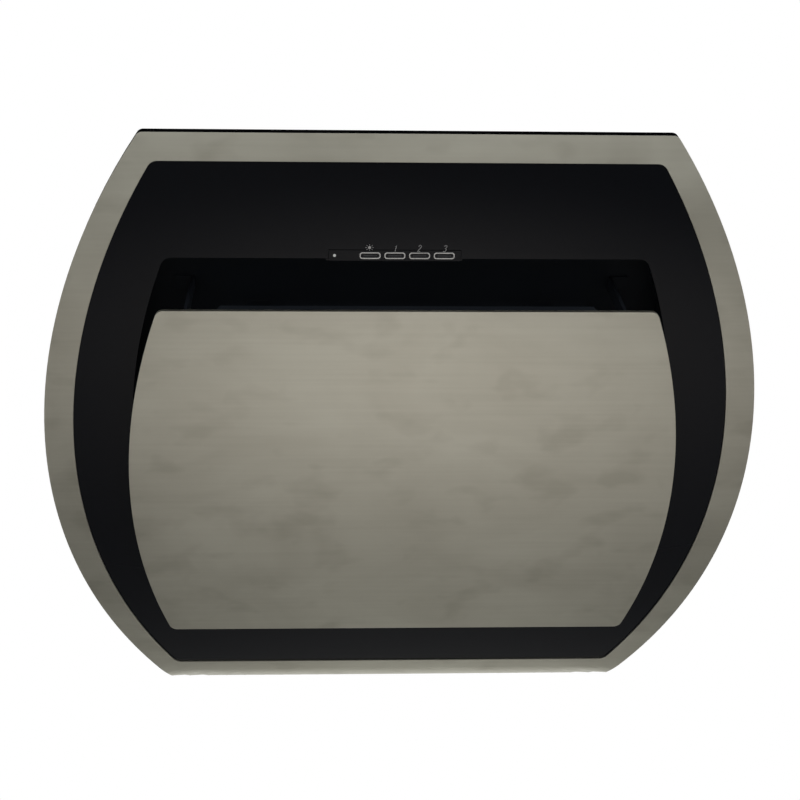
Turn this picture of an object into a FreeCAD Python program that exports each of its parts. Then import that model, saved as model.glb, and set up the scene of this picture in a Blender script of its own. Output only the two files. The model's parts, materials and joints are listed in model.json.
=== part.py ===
"""Wall-mounted inclined range hood, 60 cm, with a barrel-shaped steel and black glass front.

Frame of the whole part, in millimetres: +X to the right, +Y into the wall, +Z up.
The origin is the centre of the four wall screw holes, on the plane that lies against the wall.

The front is a plate that bulges gently towards the cook and leans with its top forward.
Its pieces are drawn in the plate's own axes: x to the right, y up along the plate and z out
of its face, with the origin at the apex of the steel frame's outer face, level with the
wall screws' centre.
"""

import FreeCAD
import Part

import math
import os

import Sketcher
from FreeCAD import Placement, Rotation, Vector

SIZES = {
    # the front plate
    "overall_width": 598.0,        # across the widest point of the steel frame
    "side_radius": 476.0,          # of the bulging sides
    "side_rise": 2.8,              # of the centre of the sides' arcs, above the apex
    "curve_radius": 1294.0,        # of the plate's bulge, seen from the side
    "tilt_angle": 31.6,            # of the apex, forward from the vertical, in degrees
    "apex_gap": 225.0,             # from the wall to the apex
    "frame_top": 287.4,            # top edge above the apex
    "frame_sheet": 1.2,
    "frame_corner": 6.0,
    "outline_bottom": 292.0,       # of the outline that trims the sheet's sides
    "lip_start": 250.2,            # where the bottom edge begins to roll under
    "lip_radius": 60.0,
    "lip_bend": 27.0,              # of the lip's face at its edge, in degrees from the plate
    "fold_radius": 3.0,            # of the tight fold along that edge
    "lip_turn": 63.4,              # of the flange behind the fold
    "lip_flange": 12.0,
    "frame_border": 23.8,          # steel beside the glass, at its widest point
    "window_radius": 478.7,
    "window_rise": 2.8,            # of the centre of its sides' arcs, above the apex
    "window_top": 266.5,
    "window_bottom": 240.9,
    "window_corner": 9.0,
    "bond_gap": 0.2,               # adhesive between the layers of the front
    # black glass and its suction opening
    "glass_thickness": 4.0,
    "glass_overlap": 4.0,
    "glass_bottom": 246.0,
    "glass_border": 50.2,          # glass beside the suction opening
    "opening_radius": 443.0,
    "opening_rise": 20.0,          # of the centre of its sides' arcs, above the apex
    "opening_top": 191.8,
    "opening_bottom": 120.0,
    "opening_corner": 9.0,
    # black backing tray and suction pan
    "tray_sheet": 1.2,
    "tray_bottom": 247.5,
    "tray_skirt": 6.2,             # depth of its turned edge
    "pan_sheet": 1.0,
    "pan_margin": 4.0,             # pan wall outside the edge of the glass opening
    "pan_floor": 60.0,             # behind the apex
    "pan_flange": 3.4,
    # suction panel
    "panel_inset": 0.2,            # of its sides, inside those of the opening
    "panel_radius": 476.5,
    "panel_drop": 5.8,             # of the centre of its sides' arcs, below the apex
    "panel_top": 167.0,
    "panel_bottom": 152.5,
    "panel_corner": 7.0,
    "panel_standoff": 37.4,
    "panel_sheet": 1.0,
    "panel_return": 2.2,           # depth of its turned edge
    "stiffener_side": 70.3,        # inside the panel's widest point
    "stiffener_inset": 3.0,
    "stiffener_depth": 15.0,
    "stiffener_sheet": 1.0,
    "stiffener_corner": 9.0,
    # panel hinges and catches
    "pivot_height": 150.0,
    "pivot_out": 18.0,
    "pin_diameter": 5.0,
    "pin_clearance": 0.05,
    "pin_head": 8.0,
    "pin_head_thickness": 1.2,
    "ear_inset": 54.8,             # of the ears' inner side, inside the panel's widest point
    "ear_thickness": 2.0,
    "ear_reach": 7.0,
    "foot_width": 14.0,
    "foot_thickness": 1.5,
    "hinge_gap": 0.5,
    "bracket_thickness": 2.5,
    "bracket_reach": 6.0,
    "catch_spread": 110.0,         # of each catch from the middle
    "catch_drop": 136.0,
    "catch_diameter": 18.0,
    "catch_hole_gap": 0.5,
    "magnet_diameter": 14.0,
    "magnet_thickness": 3.0,
    "magnet_gap": 0.7,
    # grease filter
    "filter_inset": 69.0,          # of its sides, inside the opening's widest point
    "filter_top": 121.0,
    "filter_bottom": 105.0,
    "filter_thickness": 9.0,
    "filter_rim": 12.0,
    "filter_seat_gap": 0.3,
    "filter_bead": 1.2,            # radius of the bead that the filter tilts about
    "ledge_sheet": 1.0,
    "ledge_lip": 4.0,
    "ledge_room": 1.6,
    "mesh_thickness": 2.0,
    "mesh_groove": 4.0,
    "mesh_hole": 8.0,
    "handle_width": 60.0,
    "handle_rise": 16.0,
    "handle_bar": 4.0,
    "clip_inset": 46.0,            # of the clips, inside the filter's sides
    "clip_width": 20.0,
    "clip_sheet": 0.8,
    "clip_height": 13.0,
    # controls, in axes whose origin lies on the plate's face at the middle of the buttons
    "control_height": 194.4,
    "first_button": 29.0,          # middle of the left button, left of the middle
    "button_pitch": 19.4,
    "bezel_width": 16.6,
    "bezel_height": 5.4,
    "bezel_wall": 1.0,
    "bezel_depth": 1.2,
    "bezel_corner": 2.2,
    "bezel_rise": 0.3,
    "button_gap": 0.15,
    "button_corner": 1.2,
    "button_travel": 1.0,
    "button_length": 8.0,
    "fascia_left": 61.6,
    "fascia_right": 42.4,
    "fascia_height": 8.6,
    "fascia_gap": 0.15,
    "indicator_offset": 56.9,
    "indicator_diameter": 2.2,
    "control_start": 8.0,          # front of the control box, behind the plate's face
    "control_end": 23.0,
    "control_height_out": 12.0,
    "control_wall": 1.2,
    "control_room": 0.6,           # clear of the sheets around it
    "board_thickness": 1.6,
    "switch_width": 6.0,
    "switch_height": 5.0,
    # casing behind the plate
    "casing_inset": 64.0,          # of its sides, inside the frame's widest point
    "casing_sheet": 1.2,
    "casing_top": 205.0,
    "casing_bottom": 208.3,
    "casing_front_gap": 0.5,       # to the back of the tray
    "casing_chin": 190.0,          # where its front turns in behind the lip
    "casing_knee": 140.0,          # where its sides begin to lean in
    "casing_low_inset": 99.0,      # of the low end of its sides, likewise
    "bottom_depth": 46.0,
    "flange_width": 14.0,
    "low_flange_width": 160.0,     # between the lamps
    "wall_hole_spread": 300.0,
    "wall_hole_rise": 150.0,
    "wall_hole_diameter": 8.0,
    # duct outlet and damper
    "duct_diameter": 149.0,
    "duct_height": 52.0,
    "duct_wall": 1.5,
    "duct_flange": 12.0,
    "duct_back": 127.0,
    "stop_width": 3.0,
    "stop_thickness": 1.5,
    "axle_height": 14.0,
    "axle_diameter": 4.0,
    "knuckle_wall": 1.5,
    "knuckle_clearance": 0.1,
    "knuckle_length": 30.0,
    "knuckle_gap": 1.0,
    "flap_thickness": 1.2,
    "flap_gap": 1.5,
    "flap_root": 4.2,
    # blower
    "blower_back": 104.0,
    "blower_rise": 95.0,
    "blower_width": 150.0,
    "scroll_radius": 80.0,
    "scroll_sheet": 1.2,
    "scroll_end_gap": 0.3,
    "tongue_angle": 65.0,
    "inlet_diameter": 112.0,
    "inlet_ring": 9.0,
    "inlet_ring_sheet": 2.0,
    "wheel_diameter": 138.0,
    "wheel_width": 128.0,
    "wheel_ring": 3.0,
    "blade_depth": 12.0,
    "blade_thickness": 1.0,
    "blade_count": 30.0,
    "web_thickness": 2.0,
    "hub_diameter": 26.0,
    "hub_length": 24.0,
    "shaft_diameter": 8.0,
    "shaft_clearance": 0.05,
    "shaft_inside": 20.0,
    "motor_diameter": 84.0,
    "motor_start": 78.0,
    "motor_end": 13.0,
    "arm_length": 134.0,
    "arm_width": 14.0,
    "arm_sheet": 2.0,
    "grommet_diameter": 12.0,
    "nut_width": 13.0,
    "nut_height": 6.0,
    # lamps, electrics and fasteners
    "lamp_diameter": 32.0,
    "lamp_spread": 120.0,
    "lamp_back": 23.0,
    "lamp_wall": 2.0,
    "lamp_depth": 12.0,
    "lens_thickness": 2.0,
    "lens_gap": 0.1,
    "module_side": 92.0,
    "module_width": 110.0,
    "module_low": 60.0,
    "module_height": 80.0,
    "module_depth": 30.0,
    "module_wall": 1.6,
    "standoff_diameter": 5.0,
    "capacitor_diameter": 30.0,
    "capacitor_length": 60.0,
    "gland_side": 170.0,
    "gland_back": 40.0,
    "gland_diameter": 20.0,
    "gland_bore": 9.0,
    "gland_height": 14.0,
    "gland_hole": 16.0,
    "screw_diameter": 4.0,
    "screw_head": 8.0,
    "screw_head_height": 2.2,
    "screw_length": 7.0,
    "screw_gap": 0.05,
}

doc = FreeCAD.newDocument("RangeHood")
sheet = doc.addObject("Spreadsheet::Sheet", "Sizes")
for row, (name, number) in enumerate(SIZES.items(), start=1):
    sheet.set("A%d" % row, name)
    sheet.set("B%d" % row, "%g" % number)
    sheet.setAlias("B%d" % row, name)
doc.recompute()

finished = []


class Size:
    """A length: the formula that the document keeps, and the number that it gives now."""

    def __init__(self, text, number):
        self.text = text
        self.number = float(number)

    def __add__(self, other):
        other = sized(other)
        return Size("(%s + %s)" % (self.text, other.text), self.number + other.number)

    def __sub__(self, other):
        other = sized(other)
        return Size("(%s - %s)" % (self.text, other.text), self.number - other.number)

    def __mul__(self, other):
        other = sized(other)
        return Size("(%s * %s)" % (self.text, other.text), self.number * other.number)

    def __truediv__(self, other):
        other = sized(other)
        return Size("(%s / %s)" % (self.text, other.text), self.number / other.number)

    def __radd__(self, other):
        return sized(other) + self

    def __rsub__(self, other):
        return sized(other) - self

    def __rmul__(self, other):
        return sized(other) * self

    def __neg__(self):
        return sized(0) - self


def sized(number):
    """A plain number as a Size; a Size stays as it is."""
    return number if isinstance(number, Size) else Size("%g" % number, number)


def root(size):
    return Size("sqrt(%s)" % size.text, math.sqrt(size.number))


def sine(angle):
    return Size("sin(%s * 1deg)" % angle.text, math.sin(math.radians(angle.number)))


def cosine(angle):
    return Size("cos(%s * 1deg)" % angle.text, math.cos(math.radians(angle.number)))


class Names:
    """The spreadsheet's sizes, each by its name."""

    def __getattr__(self, name):
        return Size("Sizes." + name, SIZES[name])


s = Names()


# ---------------------------------------------------------------- drawings


def tie(thing, where, size):
    """Keeps one property of an object at a formula."""
    thing.setExpression(where, size.text)


def hold(sketch, element, point, x, y):
    """Ties a point of a sketch to its two formulas, from the sketch's origin."""
    for kind, axis, size in (("DistanceX", -2, x), ("DistanceY", -1, y)):
        if size.text == "0":
            sketch.addConstraint(Sketcher.Constraint("PointOnObject", element, point, axis))
        else:
            given = Sketcher.Constraint(kind, -1, 1, element, point, size.number)
            tie(sketch, "Constraints[%d]" % sketch.addConstraint(given), size)


def disc(x, y, radius):
    """A circle, to be drawn in a sketch."""
    x, y, radius = sized(x), sized(y), sized(radius)

    def draw(sketch):
        circle = Part.Circle(Vector(x.number, y.number, 0), Vector(0, 0, 1), radius.number)
        element = sketch.addGeometry(circle)
        hold(sketch, element, 3, x, y)
        given = Sketcher.Constraint("Radius", element, radius.number)
        tie(sketch, "Constraints[%d]" % sketch.addConstraint(given), radius)

    return draw


def arc_between(start, end, radius, side):
    """The arc from start to end; its centre is on the left when side is 1, else on the right."""
    chord = end - start
    middle = start + chord * 0.5
    reach = math.sqrt(max(radius**2 - (chord.Length / 2) ** 2, 0.0))
    centre = middle + Vector(-chord.y, chord.x, 0).normalize() * reach * side
    first, last = (start, end) if side == 1 else (end, start)
    angles = [math.atan2(point.y - centre.y, point.x - centre.x) for point in (first, last)]
    if angles[1] < angles[0]:
        angles[1] += 2 * math.pi
    return Part.ArcOfCircle(Part.Circle(centre, Vector(0, 0, 1), radius), angles[0], angles[1])


def path(corners, arcs=None):
    """A closed outline. arcs gives, for the side after corner i, its radius and centre's side."""
    corners = [(sized(x), sized(y)) for x, y in corners]
    arcs = arcs or {}

    def draw(sketch):
        ends = []
        points = [Vector(x.number, y.number, 0) for x, y in corners]
        for index, start in enumerate(points):
            end = points[(index + 1) % len(points)]
            if index in arcs:
                radius, side = sized(arcs[index][0]), arcs[index][1]
                element = sketch.addGeometry(arc_between(start, end, radius.number, side))
                ends.append((element, 1, 2) if side == 1 else (element, 2, 1))
                given = Sketcher.Constraint("Radius", element, radius.number)
                tie(sketch, "Constraints[%d]" % sketch.addConstraint(given), radius)
            else:
                ends.append((sketch.addGeometry(Part.LineSegment(start, end)), 1, 2))
        for index, (x, y) in enumerate(corners):
            element, first, _ = ends[index]
            before, _, last = ends[index - 1]
            meeting = Sketcher.Constraint("Coincident", before, last, element, first)
            sketch.addConstraint(meeting)
            hold(sketch, element, first, x, y)

    return draw


def box(left, right, low, high, corner=None):
    """A rectangle, with rounded corners when a corner radius is given."""
    left, right, low, high = sized(left), sized(right), sized(low), sized(high)
    if corner is None:
        return path([(left, low), (right, low), (right, high), (left, high)])
    points = [
        (left + corner, low), (right - corner, low), (right, low + corner),
        (right, high - corner), (right - corner, high), (left + corner, high),
        (left, high - corner), (left, low + corner),
    ]
    return path(points, {1: (corner, 1), 3: (corner, 1), 5: (corner, 1), 7: (corner, 1)})


def barrel(half, radius, centre, top, bottom, corner, low_corner=None):
    """An outline with level top and bottom, whose sides are arcs that bulge outwards.

    half is half its greatest width, which lies at the height centre.
    """
    points, arcs = [], {}
    middle = half - radius

    def turn(edge, rounding, sign):
        """The ends of the corner on the right: on the side's arc, then on the level edge."""
        if rounding is None:
            across = middle + root(radius * radius - (edge - centre) * (edge - centre))
            return [(across, edge)]
        inner = edge - rounding * sign
        short = radius - rounding
        across = root(short * short - (inner - centre) * (inner - centre))
        share = radius / short
        return [(middle + across * share, centre + (inner - centre) * share),
                (middle + across, edge)]

    upper = turn(sized(top), corner, 1)
    lower = turn(-sized(bottom), low_corner, -1)
    right = lower[::-1] + upper
    left = [(-x, y) for x, y in right[::-1]]
    points = right + left
    count = len(right)
    for start in (0, count):
        down = lower if start == 0 else upper
        up = upper if start == 0 else lower
        first = start
        if len(down) == 2:
            arcs[first] = (low_corner if start == 0 else corner, 1)
            first += 1
        arcs[first] = (radius, 1)
        if len(up) == 2:
            arcs[first + 1] = (corner if start == 0 else low_corner, 1)
    return path(points, arcs)


def sag(height, radius):
    """How far out of the apex plane a surface of this radius lies, at a height on the plate."""
    return root(radius * radius - height * height) - s.curve_radius


def strip(inner, outer, low, high):
    """A curved sheet seen from the side, between two radii about the plate's axis."""
    corners = [(low, sag(low, outer)), (high, sag(high, outer)),
               (high, sag(high, inner)), (low, sag(low, inner))]
    return path(corners, {0: (outer, -1), 2: (inner, 1)})


def under(radius, low, high, floor):
    """Everything under a curved surface, seen from the side, down to a level floor."""
    corners = [(low, sag(low, radius)), (high, sag(high, radius)), (high, floor), (low, floor)]
    return path(corners, {0: (radius, -1)})


# ---------------------------------------------------------------- solids

PLANES = {"face": "XY_Plane", "front": "XZ_Plane", "side": "YZ_Plane"}
TURNS = {
    "face": Rotation(),
    "front": Rotation(Vector(1, 0, 0), 90),
    "side": Rotation(0.5, 0.5, 0.5, 0.5),
}
LIFTS = {"face": ("z", 1), "front": ("y", -1), "side": ("x", 1)}


class Piece:
    """A body made of drawings that are added and cut.

    Drawings lie on the plane "face" (x, y), "front" (x, z) or "side" (y, z); low and high
    are measured along +z, -y and +x in turn.
    """

    def __init__(self, label):
        self.body = doc.addObject("PartDesign::Body", label)
        self.body.Label = label
        self.body.AllowCompound = True
        finished.append(self.body)

    def drawing(self, plane, lift, shapes):
        sketch = self.body.newObject("Sketcher::SketchObject", self.body.Name + "_drawing")
        base = [f for f in self.body.Origin.OriginFeatures if f.Role == PLANES[plane]][0]
        sketch.AttachmentSupport = [(base, "")]
        sketch.MapMode = "FlatFace"
        sketch.AttachmentOffset = Placement(Vector(0, 0, lift.number), Rotation())
        sketch.setExpression(".AttachmentOffset.Base.z", "%s * 1mm" % lift.text)
        for draw in shapes:
            draw(sketch)
        return sketch

    def feature(self, kind, plane, low, high, shapes):
        low, high = sized(low), sized(high)
        sketch = self.drawing(plane, low, shapes)
        made = self.body.newObject("PartDesign::" + kind, self.body.Name + "_" + kind.lower())
        made.Profile = sketch
        made.Length = (high - low).number
        tie(made, "Length", high - low)
        sketch.Visibility = False
        return made

    def add(self, plane, low, high, *shapes):
        return self.feature("Pad", plane, low, high, shapes)

    def cut(self, plane, low, high, *shapes):
        made = self.feature("Pocket", plane, low, high, shapes)
        made.Reversed = True
        return made

    def around(self, feature, count):
        """Repeats a feature in a full circle about the normal of its drawing."""
        made = self.body.newObject("PartDesign::PolarPattern", self.body.Name + "_ring")
        made.Originals = [feature]
        made.Axis = (feature.Profile[0], ["N_Axis"])
        made.Angle = 360
        made.Occurrences = int(count.number)
        made.setExpression("Occurrences", count.text)
        self.body.Tip = made
        return made


def solid(label, plane, low, high, *shapes):
    """A block with a drawn outline, to be combined with others."""
    low, high = sized(low), sized(high)
    sketch = doc.addObject("Sketcher::SketchObject", label + "_drawing")
    axis, sign = LIFTS[plane]
    start = low * sign
    base = Vector(*[start.number if name == axis else 0 for name in "xyz"])
    sketch.Placement = Placement(base, TURNS[plane])
    sketch.setExpression(".Placement.Base." + axis, "%s * 1mm" % start.text)
    for draw in shapes:
        draw(sketch)
    made = doc.addObject("Part::Extrusion", label)
    made.Base = sketch
    made.DirMode = "Normal"
    made.Solid = True
    made.LengthFwd = (high - low).number
    tie(made, "LengthFwd", high - low)
    return made


def meet(label, *things):
    made = doc.addObject("Part::MultiCommon", label)
    made.Shapes = list(things)
    return made


def join(label, *things):
    made = doc.addObject("Part::MultiFuse", label)
    made.Shapes = list(things)
    return made


def less(label, thing, *tools):
    """The thing without the tools."""
    made = doc.addObject("Part::Cut", label)
    made.Base = thing
    made.Tool = tools[0] if len(tools) == 1 else join(label + "_tools", *tools)
    return made


def whole(label, thing):
    """Names a combined solid and puts it with the finished pieces."""
    thing.Label = label
    finished.append(thing)
    return thing


# ---------------------------------------------------------------- places


def put(thing, turn, x, y, z):
    """Sets where a piece stands: its turn about X in degrees, and its origin."""
    x, y, z = sized(x), sized(y), sized(z)
    base = Vector(x.number, y.number, z.number)
    thing.Placement = Placement(base, Rotation(Vector(1, 0, 0), turn.number))
    tie(thing, ".Placement.Rotation.Angle", turn)
    for axis, size in (("x", x), ("y", y), ("z", z)):
        thing.setExpression(".Placement.Base." + axis, "%s * 1mm" % size.text)
    return thing


def on_plate(thing):
    """Stands a piece in the plate's axes."""
    return put(thing, 90 + s.tilt_angle, 0, -s.apex_gap, 0)


control_out = sag(s.control_height, s.curve_radius)
control_lean = Size("(asin(Sizes.control_height / Sizes.curve_radius) / 1deg)",
                    math.degrees(math.asin(s.control_height.number / s.curve_radius.number)))


def at_controls(thing):
    """Stands a piece in the controls' axes, square to the curved face."""
    y = -s.apex_gap - s.control_height * sine(s.tilt_angle) - control_out * cosine(s.tilt_angle)
    z = s.control_height * cosine(s.tilt_angle) - control_out * sine(s.tilt_angle)
    return put(thing, 90 + s.tilt_angle - control_lean, 0, y, z)


def at_controls_of_plate(thing):
    """The same place for a tool that is combined within the plate's axes."""
    return put(thing, sized(0) - control_lean, 0, s.control_height, control_out)


def at_duct(thing):
    return put(thing, sized(0), 0, -s.duct_back, s.casing_top)


def at_blower(thing):
    return put(thing, sized(0), 0, -s.blower_back, s.blower_rise)


# ---------------------------------------------------------------- the front plate

half = s.overall_width / 2
window_half = half - s.frame_border
opening_half = window_half - s.glass_border
panel_half = opening_half - s.panel_inset
reach = half + 20                                   # past every edge of the plate
glass_front = s.curve_radius - s.frame_sheet - s.bond_gap
glass_back = glass_front - s.glass_thickness
tray_front = glass_back - s.bond_gap
tray_back = tray_front - s.tray_sheet
pan_front = tray_back - s.bond_gap


def plate_outline(grow, bottom):
    return barrel(half + grow, s.side_radius + grow, s.side_rise, s.frame_top + grow, bottom,
                  s.frame_corner + grow)


def opening_outline(grow):
    return barrel(opening_half + grow, s.opening_radius + grow, s.opening_rise,
                  s.opening_top + grow, s.opening_bottom + grow, s.opening_corner + grow,
                  s.opening_corner + grow)


def window_outline(grow, bottom):
    return barrel(window_half + grow, s.window_radius + grow, s.window_rise,
                  s.window_top + grow, bottom, s.window_corner + grow, s.window_corner + grow)


surround = box(-half - 90, half + 90, -half - 90, half + 90)


def lip_profile():
    """The steel sheet seen from the side: the gentle bulge, the lip, and the flange behind it."""
    rho, fold, far = s.lip_radius, s.fold_radius, s.curve_radius
    near, thin, tight = far - s.frame_sheet, rho - s.frame_sheet, fold - s.frame_sheet
    leaning = s.lip_start / far
    upright = root(1 - leaning * leaning)
    across = -(far - rho) * leaning                 # centre of the lip's arc
    out = (far - rho) * upright - far
    down, up = sine(s.lip_bend), cosine(s.lip_bend)
    back, rise = sine(s.lip_turn), cosine(s.lip_turn)
    low = across - (rho - fold) * down              # centre of the fold
    deep = out + (rho - fold) * up
    flange = s.lip_flange
    corners = [
        (s.frame_top + 5, sag(s.frame_top + 5, far)),
        (-s.lip_start, far * upright - far),
        (across - rho * down, out + rho * up),
        (low - fold * back, deep + fold * rise),
        (low - fold * back - flange * rise, deep + fold * rise - flange * back),
        (low - tight * back - flange * rise, deep + tight * rise - flange * back),
        (low - tight * back, deep + tight * rise),
        (across - thin * down, out + thin * up),
        (-near * leaning, near * upright - far),
        (s.frame_top + 5, sag(s.frame_top + 5, near)),
    ]
    return path(corners, {0: (far, 1), 1: (rho, 1), 2: (fold, 1), 6: (tight, -1),
                          7: (thin, -1), 8: (near, -1)})


frame = Piece("front_frame")
frame.add("side", -reach, reach, lip_profile())
frame.cut("face", -120, 40, surround, plate_outline(0, s.outline_bottom))
frame.cut("face", -120, 40, window_outline(0, s.window_bottom))
on_plate(frame.body)


def control_passage(label, room):
    """The room that the controls take behind the plate's face."""
    rise = s.control_height_out / 2 + room
    tool = solid(label, "face", -s.control_end - room, 2,
                 box(-s.fascia_left - 2 - room, s.fascia_right + 2 + room, -rise, rise))
    return at_controls_of_plate(tool)


def fascia_passage(label):
    rise = s.fascia_height / 2 + s.fascia_gap
    tool = solid(label, "face", -12, 4,
                 box(-s.fascia_left - s.fascia_gap, s.fascia_right + s.fascia_gap, -rise, rise))
    return at_controls_of_plate(tool)


def catch_holes(label):
    radius = s.catch_diameter / 2 + s.catch_hole_gap
    return solid(label, "face", -30, 10, disc(-s.catch_spread, -s.catch_drop, radius),
                 disc(s.catch_spread, -s.catch_drop, radius))


glass = less(
    "glass",
    meet("glass_sheet",
         solid("glass_outline", "face", -60, 10, window_outline(s.glass_overlap, s.glass_bottom)),
         solid("glass_curve", "side", -reach, reach,
               strip(glass_back, glass_front, -s.lip_start, s.frame_top))),
    solid("glass_opening", "face", -60, 10, opening_outline(0)),
    fascia_passage("glass_notch"),
    catch_holes("glass_holes"),
)
on_plate(whole("glass_panel", glass))

tray_sheet = less(
    "tray_flat",
    meet("tray_sheet",
         solid("tray_outline", "face", -60, 10, plate_outline(0, s.tray_bottom)),
         solid("tray_curve", "side", -reach, reach,
               strip(tray_back, tray_front, -s.lip_start, s.frame_top + 5))),
    solid("tray_opening", "face", -60, 10, opening_outline(s.pan_margin)),
    control_passage("tray_notch", s.control_room),
)
tray_edge = meet(
    "tray_edge",
    solid("tray_ring", "face", -60, 10, plate_outline(0, s.tray_bottom),
          plate_outline(-s.tray_sheet, s.tray_bottom - s.tray_sheet)),
    solid("tray_edge_curve", "side", -reach, reach,
          strip(glass_front - s.tray_skirt, glass_front, -s.lip_start, s.frame_top + 5)),
)
on_plate(whole("backing_tray", join("tray", tray_sheet, tray_edge)))

filter_half = opening_half - s.filter_inset
pan_base = less(
    "pan_base",
    solid("pan_base_block", "face", -s.pan_floor - s.pan_sheet, -s.pan_floor,
          opening_outline(s.pan_margin + s.pan_sheet)),
    solid("pan_window", "face", -s.pan_floor - 5, -s.pan_floor + 5,
          box(-filter_half + s.filter_rim + 4, filter_half - s.filter_rim - 4,
              -s.filter_bottom + s.filter_rim + 4, s.filter_top - s.filter_rim - 4)),
)
on_plate(whole("pan_base", pan_base))

pan_wall = less(
    "pan_band",
    meet("pan_band_block",
         solid("pan_band_ring", "face", -s.pan_floor, 10,
               opening_outline(s.pan_margin + s.pan_sheet), opening_outline(s.pan_margin)),
         solid("pan_band_limit", "side", -reach, reach,
               under(pan_front - s.pan_sheet - s.bond_gap, -250, 250, sized(-110)))),
    control_passage("pan_band_notch", s.control_room),
)
on_plate(whole("pan_wall", pan_wall))

pan_rim = less(
    "pan_flange",
    meet("pan_flange_block",
         solid("pan_flange_ring", "face", -60, 10,
               opening_outline(s.pan_margin + s.pan_sheet + s.pan_flange),
               opening_outline(s.pan_margin)),
         solid("pan_flange_curve", "side", -reach, reach,
               strip(pan_front - s.pan_sheet, pan_front, -250, 250))),
    control_passage("pan_flange_notch", s.control_room),
)
on_plate(whole("pan_rim", pan_rim))

# ---------------------------------------------------------------- suction panel

panel_front = s.curve_radius + s.panel_standoff
panel_back = panel_front - s.panel_sheet


def panel_outline(grow):
    return barrel(panel_half + grow, s.panel_radius + grow, -s.panel_drop,
                  s.panel_top + grow, s.panel_bottom + grow, s.panel_corner + grow,
                  s.panel_corner + grow)


skin = join(
    "skin",
    meet("skin_face", solid("skin_outline", "face", -20, 60, panel_outline(0)),
         solid("skin_curve", "side", -reach, reach, strip(panel_back, panel_front, -200, 200))),
    meet("skin_edge",
         solid("skin_ring", "face", -20, 60, panel_outline(0), panel_outline(-s.panel_sheet)),
         solid("skin_edge_curve", "side", -reach, reach,
               strip(panel_back - s.panel_return, panel_back + s.panel_sheet / 2, -200, 200))),
)
on_plate(whole("panel_skin", skin))

stiffener_front = panel_back - s.bond_gap
stiffener_back = panel_back - s.stiffener_depth


def stiffener_outline(shrink):
    """The stiffener's rectangle with cut corners."""
    right = panel_half - s.stiffener_side - shrink
    high = s.panel_top - s.stiffener_inset - shrink
    low = -s.panel_bottom + s.stiffener_inset + shrink
    cut = s.stiffener_corner - shrink * 0.586
    return path([
        (-right + cut, low), (right - cut, low), (right, low + cut), (right, high - cut),
        (right - cut, high), (-right + cut, high), (-right, high - cut), (-right, low + cut),
    ])


stiffener = join(
    "stiffener",
    meet("stiffener_back",
         solid("stiffener_block", "face", -20, 60, stiffener_outline(sized(0))),
         solid("stiffener_back_curve", "side", -reach, reach,
               strip(stiffener_back, stiffener_back + s.stiffener_sheet, -200, 200))),
    meet("stiffener_edge",
         solid("stiffener_ring", "face", -20, 60, stiffener_outline(sized(0)),
               stiffener_outline(s.stiffener_sheet)),
         solid("stiffener_edge_curve", "side", -reach, reach,
               strip(stiffener_back, stiffener_front, -200, 200))),
)
on_plate(whole("panel_stiffener", stiffener))

ear_start = panel_half - s.ear_inset                # inner side of the hinge ears
bracket_start = ear_start + s.ear_thickness + s.hinge_gap
bracket_end = bracket_start + s.bracket_thickness


def mirrored(side, near, far):
    """The two ends along X of something between near and far from the middle, on one side."""
    return (near, far) if side == 1 else (-far, -near)


def hinge_ear(label, side):
    """The panel's half of a hinge: a foot behind the skin and an ear with the pin's hole."""
    low, high = s.pivot_height - s.ear_reach, s.pivot_height + s.ear_reach
    ear = Piece(label)
    ends = mirrored(side, ear_start, ear_start + s.ear_thickness)
    ear.add("side", *ends, under(stiffener_front, low, high, s.pivot_out - s.ear_reach))
    ends = mirrored(side, ear_start - s.foot_width, ear_start + s.ear_thickness)
    ear.add("side", *ends,
            strip(stiffener_front - s.foot_thickness, stiffener_front, low, high))
    ends = mirrored(side, ear_start - 3, ear_start + 5)
    ear.cut("side", *ends,
            disc(s.pivot_height, s.pivot_out, s.pin_diameter / 2 + s.pin_clearance))
    on_plate(ear.body)


def hinge_bracket(label, side):
    """The hood's half of a hinge: an arm that stands on the floor of the suction pan."""
    reach_out = s.bracket_reach
    low, high = s.pivot_height - reach_out, s.pivot_height + reach_out
    arm = Piece(label)
    arm.add("side", *mirrored(side, bracket_start, bracket_end),
            path([(low, -s.pan_floor), (high, -s.pan_floor), (high, s.pivot_out),
                  (s.pivot_height, s.pivot_out + reach_out), (low, s.pivot_out)],
                 {2: (reach_out, 1), 3: (reach_out, 1)}))
    arm.add("face", -s.pan_floor, -s.pan_floor + s.bracket_thickness,
            box(*mirrored(side, bracket_start, bracket_end + s.foot_width), low, high))
    arm.cut("side", *mirrored(side, bracket_start - 2, bracket_end + 2),
            disc(s.pivot_height, s.pivot_out, s.pin_diameter / 2 + s.pin_clearance / 2))
    on_plate(arm.body)


hinge_ear("hinge_ear_left", -1)
hinge_ear("hinge_ear_right", 1)
hinge_bracket("hinge_bracket_left", -1)
hinge_bracket("hinge_bracket_right", 1)

pins = Piece("hinge_pins")
for side in (-1, 1):
    near, far = ear_start - s.hinge_gap, bracket_end
    head = s.pin_head_thickness
    pins.add("side", *mirrored(side, near - head, far + head),
             disc(s.pivot_height, s.pivot_out, s.pin_diameter / 2))
    pins.add("side", *mirrored(side, far, far + head),
             disc(s.pivot_height, s.pivot_out, s.pin_head / 2))
    pins.add("side", *mirrored(side, near - head, near),
             disc(s.pivot_height, s.pivot_out, s.pin_head / 2))
on_plate(pins.body)

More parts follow.
